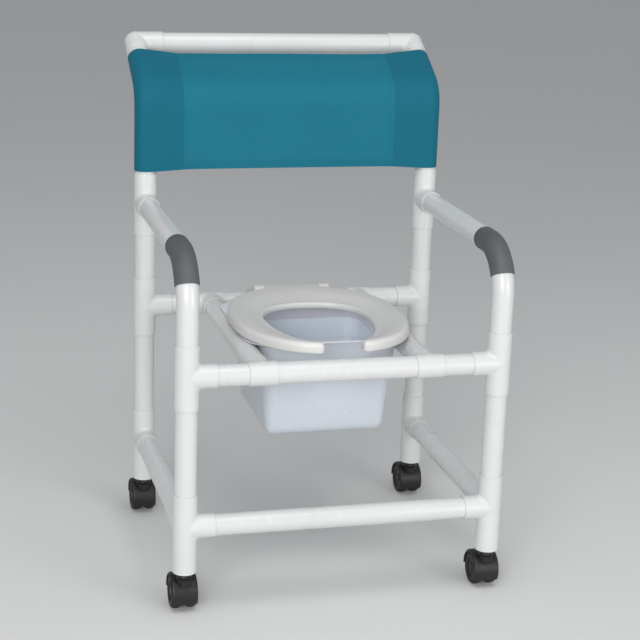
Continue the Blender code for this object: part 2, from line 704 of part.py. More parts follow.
# ---------------------------------------------------------------- whole chair
def main():
    clear_scene()
    for name in ("commode_chair", "helpers"):
        bpy.context.scene.collection.children.link(bpy.data.collections.new(name))
    white = new_material("white_pvc", (0.66, 0.67, 0.66), 0.25)
    cream = new_material("seat_plastic", (0.50, 0.50, 0.48), 0.35)
    teal = new_material("teal_fabric", (0.02, 0.18, 0.25), 0.60)
    grip = new_material("grip_foam", (0.12, 0.125, 0.136), 0.70)
    pale_blue = new_material("pail_plastic", (0.52, 0.57, 0.65), 0.35)
    dark = new_material("caster_plastic", (0.03, 0.03, 0.032), 0.45)
    tread = new_material("wheel_rubber", (0.03, 0.03, 0.03), 0.65)
    steel = new_material("plated_steel", (0.60, 0.60, 0.60), 0.30, 1.0)

    make_pipes(white)
    make_fittings(white)
    make_grips(grip)
    make_sling(teal)
    make_seat(cream)
    make_bumpers(tread)
    make_hinge(cream, steel)
    make_pail(pale_blue)
    for end, y in (("front", FRONT_Y), ("rear", REAR_Y)):
        for side, name in SIDE_NAMES:
            make_caster(f"{end}_{name}", side * HALF_W, y, dark, tread, steel)


main()
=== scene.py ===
"""Looks of the rolling commode chair: smooth pipes and fittings, the sewn cloth back, the
moulded seat, the pail, the arm grips and the twin-wheel casters, with their finishes.

Lengths are metres. -Y is the front of the chair and +Z is up.
"""

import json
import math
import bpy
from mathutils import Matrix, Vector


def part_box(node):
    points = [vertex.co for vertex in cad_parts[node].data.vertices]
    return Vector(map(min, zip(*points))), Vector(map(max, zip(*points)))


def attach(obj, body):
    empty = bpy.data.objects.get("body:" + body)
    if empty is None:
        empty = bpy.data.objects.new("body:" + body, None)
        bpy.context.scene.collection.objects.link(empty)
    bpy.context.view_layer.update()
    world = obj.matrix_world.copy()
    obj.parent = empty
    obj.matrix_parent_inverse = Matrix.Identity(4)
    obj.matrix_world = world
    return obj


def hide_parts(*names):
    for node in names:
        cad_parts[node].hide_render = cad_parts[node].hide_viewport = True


bl_info = {
    "name": "Commode Chair Looks",
    "version": (1, 0, 0),
    "blender": (4, 5, 0),
    "location": "View3D > Sidebar > Commode Chair",
    "description": "Builds the visible surfaces and finishes of a rolling commode chair",
    "category": "Add Mesh",
}

import bmesh
import bpy
import numpy as np
from bpy.props import FloatProperty, FloatVectorProperty, PointerProperty
from mathutils import Matrix, Vector, noise

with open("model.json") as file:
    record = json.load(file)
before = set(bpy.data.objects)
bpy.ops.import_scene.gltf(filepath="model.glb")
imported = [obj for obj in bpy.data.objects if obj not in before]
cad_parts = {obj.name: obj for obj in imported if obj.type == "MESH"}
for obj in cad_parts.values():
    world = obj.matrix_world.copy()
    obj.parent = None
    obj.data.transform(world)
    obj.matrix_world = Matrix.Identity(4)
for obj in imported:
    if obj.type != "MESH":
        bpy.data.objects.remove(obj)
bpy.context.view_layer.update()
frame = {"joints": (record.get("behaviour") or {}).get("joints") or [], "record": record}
RECORD = frame["record"]
BODY_OF = {node: body for body, nodes in RECORD["behaviour"]["bodies"].items() for node in nodes}
JOINTS = {joint["name"]: joint for joint in frame["joints"]}
SIDES = (("left", -1), ("right", 1))
ENDS = ("front", "rear")


# ------------------------------------------------------------------ places read from the frame
def middle(node):
    """Centre of a CAD node's box."""
    low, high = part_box(node)
    return (low + high) / 2


def span(node):
    """Size of a CAD node's box."""
    low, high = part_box(node)
    return high - low


POST_X = middle("front_leg_arm_right").x
PIPE_R = span("front_leg_arm_right").x / 2
FRONT_Y = middle("low_front_rail").y
REAR_Y = middle("seat_rear_rail").y
LOW_Z = middle("low_front_rail").z
SEAT_RAIL_Z = middle("seat_front_rail").z
ARM_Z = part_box("front_leg_arm_right")[1].z - PIPE_R
PUSH_Y = middle("push_rail").y
PUSH_Z = middle("push_rail").z
RAIL_X = middle("pail_rail_right").x
GAP = 0.0003  # clearance between pieces that nest
HINGE = Vector(JOINTS["seat_hinge"]["pos_m"])


# ------------------------------------------------------------------ sizes and colours
def length(name, description, default):
    """A size in metres."""
    return FloatProperty(name=name, description=description, default=default, min=0.0,
                         unit="LENGTH", precision=4)


def angle(name, description, degrees):
    """An angle, given in degrees."""
    return FloatProperty(name=name, description=description, default=math.radians(degrees),
                         subtype="ANGLE")


def colour(name, description, default):
    """A base colour."""
    return FloatVectorProperty(name=name, description=description, default=default, size=3,
                               subtype="COLOR", min=0.0, max=1.0)


class CommodeFrameSizes(bpy.types.PropertyGroup):
    """Bends, sleeves and fillets of the pipe frame."""
    arm_bend: length("Arm bend", "Radius of the bend from leg to arm", 0.086)
    lean: angle("Lean", "Upper end of the rear post, from upright", 60)
    lean_bend: length("Lean bend", "Radius of the bend in the rear post", 0.064)
    sleeve_wall: length("Sleeve wall", "Fitting's outer surface over the pipe's", 0.0021)
    sleeve_edge: length("Sleeve edge", "Rounding of a fitting's open ends", 0.0011)
    fillet: length("Fillet", "Rounding where two sleeves of a fitting meet", 0.007)
    branch: length("Branch", "Post axis to the end of a fitting's branch", 0.056)
    grip_wall: length("Grip wall", "Grip's outer surface over the pipe's", 0.0023)
    grip_on_arm: length("Grip on arm", "Straight stretch of grip along the arm", 0.030)


class CommodeSoftSizes(bpy.types.PropertyGroup):
    """The cloth back."""
    cloth: length("Cloth", "Thickness of the cloth", 0.0012)
    pocket: length("Pocket", "Post axis to the pocket's seam", 0.078)
    allowance: length("Allowance", "Cloth sewn down behind the seam", 0.012)
    top_short: length("Top short", "Pocket stops this far short of the push rail", 0.052)
    panel_ahead: length("Panel ahead", "Panel's place in front of the post axes", 0.0115)
    top_dip: length("Top dip", "How much lower the panel's top edge is than the pockets'", 0.001)
    hem: length("Hem", "Edge to the hem's stitching", 0.016)
    stitch: length("Stitch", "Length of one stitch", 0.0038)


class CommodeSeatSizes(bpy.types.PropertyGroup):
    """Seat ring."""
    half_length: length("Half length", "Half of the seat's length, without its hinge block", 0.2135)
    hole_half: length("Hole half width", "Half of the seat hole's width", 0.107)
    hole_rear: length("Hole rear", "Seat's mid line to the hole's rear edge", 0.1075)
    hole_front: length("Hole front", "Seat's mid line to the hole's front", 0.1885)
    gap_half: length("Gap half width", "Half of the gap between the seat's arms", 0.037)
    tongue_half: length("Tongue half width", "Half of the hinge block's width", 0.0575)
    dish: length("Dish", "Drop of the seat's top from its crest to the hole", 0.010)
    outer_edge: length("Outer edge", "Rounding of the seat's outer top edge", 0.009)
    inner_edge: length("Inner edge", "Rounding round the hole", 0.0045)
    tip_corner: length("Tip corner", "Rounding of the arms' ends in plan", 0.014)


class CommodePailSizes(bpy.types.PropertyGroup):
    """Pail."""
    wall: length("Wall", "Thickness of the pail", 0.0026)
    side_flange: length("Side flange", "Flange beyond the wall, over a rail", 0.0265)
    end_flange: length("End flange", "Flange beyond the wall at the front and rear", 0.009)
    corner: length("Corner", "Radius of the rim's corners in plan", 0.040)
    foot_corner: length("Foot corner", "Least radius of the corners in plan", 0.008)
    side_draft: FloatProperty(name="Side draft", description="Slope of the side walls",
                              default=0.095)
    end_draft: FloatProperty(name="End draft", description="Slope of the front and rear walls",
                             default=0.129)
    shoulder: length("Shoulder height", "Height of the shoulder line", 0.414)
    shoulder_step: length("Shoulder step", "How far the wall steps in below it", 0.0025)
    line: length("Inner line height", "Height of the groove inside", 0.456)
    groove: length("Groove", "Depth and half width of the groove", 0.0009)
    foot: length("Foot", "Rounding from the wall to the bottom", 0.020)
    rim: length("Rim", "Rounding where the wall meets the flange", 0.003)


class CommodeCasterSizes(bpy.types.PropertyGroup):
    """Twin-wheel casters."""
    wheel: length("Wheel", "Radius of a wheel", 0.0330)
    fender: length("Fender", "Radius of the fender's outside", 0.0370)
    well: length("Well", "Radius of the fender's inside", 0.0348)
    fender_from: angle("Fender from", "Fender's first edge, from straight behind the axle", -5)
    fender_to: angle("Fender to", "Fender's last edge, over the top of the wheels", 205)
    web: length("Web", "Thickness of the web between the wheels", 0.008)
    hub: length("Hub", "Radius of the web round the axle", 0.012)
    neck: length("Neck", "Radius of the neck where it meets the fender", 0.0165)


class CommodeColours(bpy.types.PropertyGroup):
    """Base colours of the finishes."""
    pipe: colour("Pipe", "White pipe", (0.635, 0.64, 0.635))
    fitting: colour("Fitting", "White moulded fittings", (0.64, 0.645, 0.64))
    seat: colour("Seat", "Warm light grey seat", (0.62, 0.615, 0.595))
    pail: colour("Pail", "Bluish white pail", (0.53, 0.565, 0.615))
    # painted light: the pail's inside is coloured much paler than its outside, and a darker lilac
    # above the inner line
    pail_inside_top_painted_light: colour("Pail rim", "Inside of the pail above its line", (0.76, 0.74, 0.80))
    pail_inside_painted_light: colour("Pail inside", "Inside of the pail below its line", (0.87, 0.92, 0.985))
    cloth: colour("Cloth", "Teal cloth", (0.009, 0.176, 0.252))
    thread: colour("Thread", "Sewing thread", (0.006, 0.150, 0.220))
    grip: colour("Grip", "Dark grey grip", (0.085, 0.087, 0.095))
    nylon: colour("Nylon", "Caster housings", (0.010, 0.010, 0.011))
    tread: colour("Tread", "Caster treads", (0.012, 0.012, 0.013))
    pad: colour("Pad", "Rubber pads under the seat", (0.42, 0.42, 0.41))
    steel: colour("Steel", "Plated pins and stems", (0.55, 0.55, 0.56))
    floor: colour("Floor", "Studio floor", (0.72, 0.72, 0.71))


class CommodeStudio(bpy.types.PropertyGroup):
    """Camera of the studio."""
    place: FloatVectorProperty(name="Camera", description="Camera's place",
                               default=(-0.8401, -3.2001, 1.4190), subtype="TRANSLATION")
    heading: angle("Heading", "Turn to the right of +Y", 15.243)
    pitch: angle("Pitch", "Look down by this angle", 15.884)
    roll: angle("Roll", "Turn about the line of sight", 2.049)
    lens: FloatProperty(name="Lens", description="Focal length", default=93.81, unit="CAMERA")


# ------------------------------------------------------------------ mesh helpers
def mesh_from(points, faces):
    """A mesh of points and faces."""
    mesh = bpy.data.meshes.new("piece")
    mesh.from_pydata([tuple(p) for p in points], [], faces)
    mesh.validate()
    return mesh


def evaluated(obj):
    """A new mesh of the object with its modifiers, with welded points."""
    bpy.context.scene.collection.objects.link(obj)
    bpy.context.view_layer.update()
    depsgraph = bpy.context.evaluated_depsgraph_get()
    mesh = bpy.data.meshes.new_from_object(obj.evaluated_get(depsgraph))
    bpy.data.objects.remove(obj, do_unlink=True)
    weld(mesh, 0.00001)
    return mesh


def weld(mesh, distance):
    """Joins points closer than distance and turns every face outward."""
    bm = bmesh.new()
    bm.from_mesh(mesh)
    bmesh.ops.remove_doubles(bm, verts=bm.verts, dist=distance)
    bmesh.ops.dissolve_degenerate(bm, edges=bm.edges, dist=distance / 4)
    bmesh.ops.recalc_face_normals(bm, faces=bm.faces)
    bm.to_mesh(mesh)
    bm.free()


def bar(points, radius, shares=None, sides=48):
    """A closed round bar along points; shares scale its radius at each point."""
    curve = bpy.data.curves.new("bar", "CURVE")
    curve.dimensions = "3D"
    curve.bevel_depth = radius
    curve.bevel_resolution = (sides - 4) // 2
    curve.use_fill_caps = True
    spline = curve.splines.new("POLY")
    spline.points.add(len(points) - 1)
    for k, (point, place) in enumerate(zip(spline.points, points)):
        point.co = (*place, 1.0)
        point.radius = 1.0 if shares is None else shares[k]
    mesh = evaluated(bpy.data.objects.new("bar", curve))
    bpy.data.curves.remove(curve)
    return mesh


def arc(centre, radius, first, last, steps):
    """Points round a centre in a plane, from one angle in radians to another."""
    return [(centre[0] + radius * math.cos(a), centre[1] + radius * math.sin(a))
            for a in np.linspace(first, last, steps + 1)]


def rim(edge, steps=3):
    """A rounded rim as (distance from the end, inset), from the end inward."""
    return [(edge * (1 - math.sin(a)), edge * (1 - math.cos(a)))
            for a in np.linspace(math.pi / 2, 0, steps + 1)]


def rounded_bar(points, radius, edge, sides=48):
    """A bar whose two ends are rounded over by edge."""
    points = [Vector(p) for p in points]
    ahead = (points[1] - points[0]).normalized()
    back = (points[-2] - points[-1]).normalized()
    path = [points[0] + ahead * along for along, _ in rim(edge)] + points[1:-1]
    path += [points[-1] + back * along for along, _ in reversed(rim(edge))]
    shares = [1 - inset / radius for _, inset in rim(edge)]
    return bar(path, radius, shares + [1.0] * (len(points) - 2) + shares[::-1], sides)


def straight(start, end, step):
    """Points from start to end, about step apart."""
    start, end = Vector(start), Vector(end)
    count = max(2, round((end - start).length / step))
    return [start.lerp(end, k / count) for k in range(count + 1)]


def bend(corner, before, after, radius, steps):
    """Points round a rounded corner between two unit directions."""
    corner, before, after = Vector(corner), Vector(before), Vector(after)
    turn = before.angle(after)
    start = corner - before * radius * math.tan(turn / 2)
    inward = (after - before * before.dot(after)).normalized()
    centre = start + inward * radius
    return [centre - inward * radius * math.cos(turn * k / steps)
            + before * radius * math.sin(turn * k / steps) for k in range(steps + 1)]


def boolean(target, tools, operation):
    """Union or difference of meshes, as one new mesh."""
    body = bpy.data.objects.new("body", target)
    helpers = []
    for tool in tools:
        helper = bpy.data.objects.new("tool", tool)
        bpy.context.scene.collection.objects.link(helper)
        helpers.append(helper)
        cut = body.modifiers.new("cut", "BOOLEAN")
        cut.operation = operation
        cut.solver = "EXACT"
        cut.object = helper
    mesh = evaluated(body)
    for helper in helpers:
        bpy.data.objects.remove(helper, do_unlink=True)
    return mesh


def tube_faces(first, rows, count):
    """Faces of a capped tube: rows of rings of count points, from index first on."""
    faces = []
    for row in range(rows - 1):
        near, far = first + row * count, first + (row + 1) * count
        for k in range(count):
            n = (k + 1) % count
            faces.append((near + k, near + n, far + n, far + k))
    faces.append(tuple(first + k for k in reversed(range(count))))
    faces.append(tuple(first + (rows - 1) * count + k for k in range(count)))
    return faces


def loft(rings):
    """A closed solid through rings of points, capped at both ends."""
    points = [p for ring in rings for p in ring]
    return mesh_from(points, tube_faces(0, len(rings), len(rings[0])))


def closed_sheet(top, under, distance):
    """A closed solid between two grids of points with the same rows and columns."""
    rows, columns = top.shape[:2]
    count = rows * columns
    faces = []
    for r in range(rows - 1):
        for c in range(columns - 1):
            a, b = r * columns + c, (r + 1) * columns + c
            faces.append((a, b, b + 1, a + 1))
            faces.append((count + a, count + a + 1, count + b + 1, count + b))
    index = np.arange(count).reshape(rows, columns)
    loop = [int(i) for side in (index[:, 0], index[-1, 1:], index[-2::-1, -1], index[0, -2:0:-1])
            for i in side]
    faces += [(a, count + a, count + b, b) for a, b in zip(loop, loop[1:] + loop[:1])]
    mesh = mesh_from(np.concatenate([top.reshape(-1, 3), under.reshape(-1, 3)]), faces)
    weld(mesh, distance)
    return mesh


def turned(profile, place, axis="Z", sides=48):
    """A closed solid of revolution; the profile is (radius, height) from end to end."""
    mesh = loft([[(x, y, h) for x, y in arc((0, 0), r, 0, math.tau, sides)[:-1]]
                 for r, h in profile])
    if axis == "X":
        mesh.transform(Matrix.Rotation(math.pi / 2, 4, "Y"))
    mesh.transform(Matrix.Translation(place))
    return mesh


def rounded_profile(radius, long, edge):
    """Profile of a pin about its middle, with two rounded rims."""
    bottom = [(radius - inset, along - long / 2) for along, inset in rim(edge, 4)]
    return bottom + [(r, -h) for r, h in reversed(bottom)]


def place_piece(name, mesh, finish, node, stands_for=True, smooth=35.0):
    """Adds a piece that rides with a CAD node and, as a rule, stands for it."""
    obj = bpy.data.objects.new(name, mesh)
    bpy.context.scene.collection.objects.link(obj)
    mesh.materials.clear()
    mesh.materials.append(finish)
    if smooth is not None:
        mesh.shade_smooth()
        mesh.set_sharp_from_angle(angle=math.radians(smooth))
    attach(obj, BODY_OF[node])
    if stands_for:
        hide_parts(node)
    return obj


# ------------------------------------------------------------------ finishes
class Finish:
    """A Principled material with a few shorthands for its node tree."""

    def __init__(self, name, roughness, **sockets):
        self.material = bpy.data.materials.new(name)
        self.material.use_nodes = True
        self.nodes = self.material.node_tree.nodes
        self.links = self.material.node_tree.links
        self.shader = self.nodes["Principled BSDF"]
        self.shader.inputs["Roughness"].default_value = roughness
        for socket, value in sockets.items():
            self.shader.inputs[socket.replace("_", " ")].default_value = value
        self.coordinates = self.nodes.new("ShaderNodeTexCoord").outputs["Object"]

    def node(self, kind, **inputs):
        """A new node, with inputs set to values or linked to other nodes' outputs."""
        made = self.nodes.new(kind)
        for name, value in inputs.items():
            socket = made.inputs[name.replace("_", " ")]
            if isinstance(value, bpy.types.NodeSocket):
                self.links.new(value, socket)
            else:
                socket.default_value = value
        return made

    def noise(self, scale, detail=2.0, stretch=(1, 1, 1), distortion=0.0):
        source = self.coordinates
        if stretch != (1, 1, 1):
            source = self.node("ShaderNodeMapping", Vector=source, Scale=stretch).outputs["Vector"]
        return self.node("ShaderNodeTexNoise", Vector=source, Scale=scale, Detail=detail,
                         Distortion=distortion).outputs["Fac"]

    def cells(self, scale):
        return self.node("ShaderNodeTexVoronoi", Vector=self.coordinates,
                         Scale=scale).outputs["Distance"]

    def remap(self, value, low, high, to_low=0.0, to_high=1.0):
        return self.node("ShaderNodeMapRange", Value=value, From_Min=low, From_Max=high,
                         To_Min=to_low, To_Max=to_high).outputs["Result"]

    def split(self, vector):
        return self.node("ShaderNodeSeparateXYZ", Vector=vector).outputs

    def math(self, operation, first, second):
        node = self.nodes.new("ShaderNodeMath")
        node.operation = operation
        for socket, value in zip(node.inputs, (first, second)):
            if isinstance(value, (int, float)):
                socket.default_value = value
            else:
                self.links.new(value, socket)
        return node.outputs["Value"]

    def mix(self, factor, first, second):
        node = self.nodes.new("ShaderNodeMix")
        node.data_type = "RGBA"
        self.links.new(factor, node.inputs["Factor"])
        for socket, value in ((node.inputs["A"], first), (node.inputs["B"], second)):
            if isinstance(value, tuple):
                socket.default_value = (*value, 1.0)
            else:
                self.links.new(value, socket)
        return node.outputs["Result"]

    def colour(self, output):
        self.links.new(output, self.shader.inputs["Base Color"])

    def roughness(self, output):
        self.links.new(output, self.shader.inputs["Roughness"])

    def bump(self, height, strength, distance):
        """Adds a bump over any that is there already."""
        node = self.node("ShaderNodeBump", Strength=strength, Distance=distance, Height=height)
        previous = self.shader.inputs["Normal"].links
        if previous:
            self.links.new(previous[0].from_socket, node.inputs["Normal"])
        self.links.new(node.outputs["Normal"], self.shader.inputs["Normal"])


def tint(base, factor, shift=(1.0, 1.0, 1.0)):
    """A colour made lighter or darker by factor, and shifted in hue."""
    return tuple(min(1.0, c * factor * s) for c, s in zip(base, shift))


def plastic(name, base, roughness, grain, peel, wear=0.05, **sockets):
    """Moulded or drawn plastic: clouded colour, handled gloss and a fine skin."""
    base = tuple(base)
    finish = Finish(name, roughness, **sockets)
    clouds = finish.remap(finish.noise(4.0, 4.0), 0.3, 0.7)
    body = finish.mix(clouds, tint(base, 0.97), tint(base, 1.02))
    scuffs = finish.remap(finish.noise(26.0, 8.0, (1, 1, 0.35), 0.8), 0.62, 0.80, 0.0, wear * 6)
    finish.colour(finish.mix(scuffs, body, tint(base, 0.82, (1.0, 0.985, 0.95))))
    handled = finish.noise(11.0, 5.0)
    finish.roughness(finish.remap(handled, 0.3, 0.7, roughness * 0.8, roughness * 1.25))
    finish.bump(finish.noise(grain, 3.0), 0.12, peel)
    finish.bump(finish.noise(14.0, 2.0), 0.10, 0.0012)
    return finish.material


def cloth_finish(colours, middle_at, panel_half, height, hem):
    """Coated mesh cloth: a plain weave on the cloth's own flat coordinates.

    Where the cloth is double, in the pockets and hems, it is painted darker and bluer, as painted
    shade for the light that comes through it less.
    """
    base = tuple(colours.cloth)
    finish = Finish("teal_cloth", 0.6, Specular_IOR_Level=0.15, Sheen_Weight=0.05,
                    Sheen_Roughness=0.45, Sheen_Tint=(0.2, 0.7, 0.85, 1.0))
    flat = finish.nodes.new("ShaderNodeUVMap")
    flat.uv_map = "flat_cloth"
    across, up, _ = finish.split(flat.outputs["UV"])

    def beyond(value, centre, reach):
        offset = finish.math("ABSOLUTE", finish.math("SUBTRACT", value, centre), 0.0)
        return finish.remap(offset, reach - 0.0008, reach + 0.0008)

    # painted shade: the hems count as double cloth at half strength
    hems = finish.math("MULTIPLY", 0.5, beyond(up, height / 2, height / 2 - hem))
    double = finish.math("MAXIMUM", beyond(across, middle_at, panel_half), hems)
    threads = []
    for direction in ("X", "Y"):
        wave = finish.node("ShaderNodeTexWave", Vector=flat.outputs["UV"], Scale=300.0,
                           Distortion=0.4, Detail_Scale=3.0)
        wave.bands_direction = direction
        threads.append(wave.outputs["Fac"])
    weave = finish.math("MAXIMUM", *threads)
    pores = finish.math("MULTIPLY", *threads)
    clouds = finish.remap(finish.noise(7.0, 5.0), 0.3, 0.7)
    single = finish.mix(clouds, tint(base, 0.95), tint(base, 1.05))
    # painted shade: double cloth is painted darker and bluer than single cloth, for the light that
    # comes through it less
    body = finish.mix(double, single, tint(base, 0.70, (0.5, 1.0, 1.06)))
    relief = finish.math("ADD", weave, pores)
    shade = finish.remap(relief, 0.3, 1.6)
    finish.colour(finish.mix(shade, tint(base, 0.72), body))
    finish.roughness(finish.remap(finish.noise(40.0, 4.0), 0.3, 0.7, 0.52, 0.68))
    finish.bump(relief, 0.35, 0.0004)
    finish.bump(finish.noise(60.0, 4.0), 0.15, 0.0008)
    return finish.material


def grip_finish(colours):
    """Soft vinyl sleeve with a fine pebbled skin."""
    base = tuple(colours.grip)
    finish = Finish("grip_vinyl", 0.55, Specular_IOR_Level=0.4)
    pebbles = finish.cells(620.0)
    clouds = finish.remap(finish.noise(14.0, 6.0), 0.3, 0.7)
    body = finish.mix(clouds, tint(base, 0.90), tint(base, 1.12))
    rub = finish.remap(finish.noise(45.0, 8.0), 0.58, 0.75, 0.0, 0.5)
    finish.colour(finish.mix(rub, body, tint(base, 1.35)))
    finish.roughness(finish.remap(finish.noise(24.0, 5.0), 0.3, 0.7, 0.45, 0.66))
    finish.bump(pebbles, 0.30, 0.0005)
    return finish.material


def nylon_finish(name, base, roughness):
    """Black moulded nylon or tread rubber, with dust in its pores."""
    base = tuple(base)
    finish = Finish(name, roughness, Specular_IOR_Level=0.45)
    dust = finish.remap(finish.noise(90.0, 8.0), 0.52, 0.72, 0.0, 0.35)
    clouds = finish.remap(finish.noise(20.0, 3.0), 0.3, 0.7)
    body = finish.mix(clouds, tint(base, 0.85), tint(base, 1.2))
    finish.colour(finish.mix(dust, body, tint(base, 2.4, (1.0, 0.98, 0.94))))
    finish.roughness(finish.remap(finish.noise(50.0, 5.0), 0.3, 0.7, roughness * 0.85,
                                  roughness * 1.2))
    finish.bump(finish.noise(900.0, 3.0), 0.22, 0.0004)
    return finish.material


def steel_finish(colours):
    """Plated steel with faint turning marks."""
    finish = Finish("plated_steel", 0.3, Metallic=1.0)
    base = tuple(colours.steel)
    marks = finish.noise(700.0, 2.0)
    finish.colour(finish.mix(finish.noise(60.0, 3.0), tint(base, 0.85), tint(base, 1.1)))
    finish.roughness(finish.remap(marks, 0.3, 0.7, 0.24, 0.42))
    finish.bump(marks, 0.1, 0.0002)
    return finish.material


# ------------------------------------------------------------------ pipes
def leg_arm_path(sizes, x):
    """Front leg from its foot, round the bend and back along the arm."""
    low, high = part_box("front_leg_arm_right")
    foot, back = Vector((x, FRONT_Y, low.z)), Vector((x, high.y, ARM_Z))
    corner = (x, FRONT_Y, ARM_Z)
    return [foot, *bend(corner, (0, 0, 1), (0, 1, 0), sizes.arm_bend, 28), back]


def lean_direction(sizes):
    """Unit direction of the rear post's upper end."""
    return Vector((0, math.sin(sizes.lean), math.cos(sizes.lean)))


def rear_path(sizes, x, bottom, short, steps=20):
    """Rear post from a height, round the lean, to short of the push rail's axis."""
    kink = Vector((x, REAR_Y, PUSH_Z - (PUSH_Y - REAR_Y) / math.tan(sizes.lean)))
    top = Vector((x, PUSH_Y, PUSH_Z)) - lean_direction(sizes) * short
    turn = bend(kink, (0, 0, 1), lean_direction(sizes), sizes.lean_bend, steps)
    return [Vector((x, REAR_Y, bottom)), *turn, top]


def build_pipes(scene):
    """Leg and arm pipes, rear posts and rails."""
    sizes = scene.commode_frame
    white = plastic("white_pipe", scene.commode_colours.pipe, 0.26, 260.0, 0.0002,
                    Coat_Weight=0.12, Coat_Roughness=0.15)
    short = PIPE_R + 4 * GAP
    for name, sign in SIDES:
        x = sign * POST_X
        node = f"front_leg_arm_{name}"
        place_piece(f"{node}_pipe", bar(leg_arm_path(sizes, x), PIPE_R), white, node)
        node = f"rear_upright_{name}"
        path = rear_path(sizes, x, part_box(node)[0].z, short)
        place_piece(f"{node}_pipe", bar(path, PIPE_R), white, node)
    runs = [f"{kind}_{name}" for kind in ("low_side_rail", "pail_rail") for name, _ in SIDES]
    for node in runs + ["low_front_rail", "seat_front_rail", "seat_rear_rail", "push_rail"]:
        centre, size = middle(node), span(node)
        along = Vector((0, size.y / 2, 0)) if size.y > size.x else Vector((size.x / 2, 0, 0))
        place_piece(f"{node}_pipe", bar([centre - along, centre + along], PIPE_R), white, node)


# ------------------------------------------------------------------ fittings
def rod_distance(points, start, end, radius):
    """Signed distance to a capped rod, or to a ball where start and end are one point."""
    start, axis = np.array(start), np.array(end) - np.array(start)
    reach = np.linalg.norm(axis)
    offset = points - start
    if reach < 1e-9:
        return np.linalg.norm(offset, axis=1) - radius
    along = offset @ (axis / reach)
    radial = np.linalg.norm(offset - along[:, None] * (axis / reach), axis=1) - radius
    cap = np.abs(along - reach / 2) - reach / 2
    outside = np.hypot(np.maximum(radial, 0), np.maximum(cap, 0))
    return outside + np.minimum(np.maximum(radial, cap), 0)


def gradient(function, points, step=0.0001):
    """Slope of a field at each point."""
    parts = []
    for axis in range(3):
        shift = np.zeros(3)
        shift[axis] = step
        parts.append((function(points + shift) - function(points - shift)) / (2 * step))
    return np.stack(parts, axis=1)


def filleted(points, rods, fillet):
    """Signed distance to the rods joined with a fillet, which fades where they are tangent."""
    total, slope = None, None
    for rod in rods:
        def own(p, rod=rod):
            return rod_distance(p, *rod)
        other, other_slope = own(points), gradient(own, points)
        if total is None:
            total, slope = other, other_slope
            continue
        turn = np.clip(1 - np.sum(slope * other_slope, axis=1), 0.02, 1.0)
        blend = 1.2 * fillet * turn
        share = np.maximum(blend - np.abs(total - other), 0) / blend
        nearer = (other < total)[:, None]
        slope = np.where(nearer, other_slope, slope)
        total = np.minimum(total, other) - share * share * blend / 4
    return total


def soften(mesh, rods, fillet):
    """Draws the corners between the rods out to the filleted surface."""
    points = np.array([v.co for v in mesh.vertices], float).reshape(-1, 3)
    near = sum((np.abs(rod_distance(points, *rod)) < 2 * fillet).astype(int) for rod in rods)
    moving = near >= 2

    def field(p):
        return filleted(p, rods, fillet)
    place = points[moving]
    for _ in range(8):
        slope = gradient(field, place)
        size = np.maximum(np.sum(slope * slope, axis=1), 0.2)
        step = np.clip(field(place) / size, -0.002, 0.002)
        place = place - slope * step[:, None]
    points[moving] = place
    mesh.vertices.foreach_set("co", points.astype(np.float32).ravel())
    mesh.update()


def fitting_mesh(sizes, sleeves, bores, balls=()):
    """A moulded fitting: sleeves joined with fillets, then bored out."""
    radius = PIPE_R + sizes.sleeve_wall
    rods = [(a, b, radius) for a, b in sleeves] + [(c, c, radius) for c in balls]
    solids = [rounded_bar(straight(a, b, 0.0025), radius, sizes.sleeve_edge, 64)
              for a, b in sleeves]
    for centre in balls:
        bm = bmesh.new()
        bmesh.ops.create_uvsphere(bm, u_segments=64, v_segments=48, radius=radius - 1e-5,
                                  matrix=Matrix.Translation(centre))
        sphere = bpy.data.meshes.new("ball")
        bm.to_mesh(sphere)
        bm.free()
        solids.append(sphere)
    mesh = boolean(solids[0], solids[1:], "UNION") if len(solids) > 1 else solids[0]
    weld(mesh, 0.0004)
    soften(mesh, rods, sizes.fillet)
    cutters = [bar([a, b], PIPE_R + GAP, sides=64) for a, b in bores]
    mesh = boolean(mesh, cutters, "DIFFERENCE")
    mesh.shade_smooth()
    mesh.set_sharp_from_angle(angle=math.radians(40))
    set_field_normals(mesh, lambda p: filleted(p, rods, sizes.fillet))
    return mesh


def set_field_normals(mesh, field):
    """Shades the outer skin by the exact slope of its field."""
    points = np.array([v.co for v in mesh.vertices], float).reshape(-1, 3)
    slope = gradient(field, points)
    slope /= np.maximum(np.linalg.norm(slope, axis=1), 1e-9)[:, None]
    on_skin = np.abs(field(points)) < 0.00012
    normals = [(0.0, 0.0, 0.0)] * len(mesh.loops)
    for face in mesh.polygons:
        facing = np.array(face.normal)
        for index in face.loop_indices:
            vertex = mesh.loops[index].vertex_index
            if on_skin[vertex] and float(slope[vertex] @ facing) > 0.9:
                normals[index] = tuple(slope[vertex])
    mesh.normals_split_custom_set(normals)


def post_fitting(sizes, node, z, branches, foot=False):
    """A sleeve on a post, with branches along unit directions and, as a foot, a floor."""
    x = math.copysign(POST_X, middle(node).x)
    y = FRONT_Y if "front" in node else REAR_Y
    axis, low, high = Vector((x, y, z)), Vector((x, y, z)), Vector((x, y, z))
    if foot:
        low.z, high.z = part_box(node)[0].z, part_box(node)[1].z
    else:
        low.z, high.z = z - span(node).z / 2, z + span(node).z / 2
    floor = 0.0123 if foot else -0.004
    sleeves = [(low, high)]
    bores = [(low + Vector((0, 0, floor)), high + Vector((0, 0, 0.004)))]
    for direction in branches:
        reach = Vector(direction) * sizes.branch
        sleeves.append((axis, axis + reach))
        bores.append((axis, axis + reach * 1.05))
    return fitting_mesh(sizes, sleeves, bores)


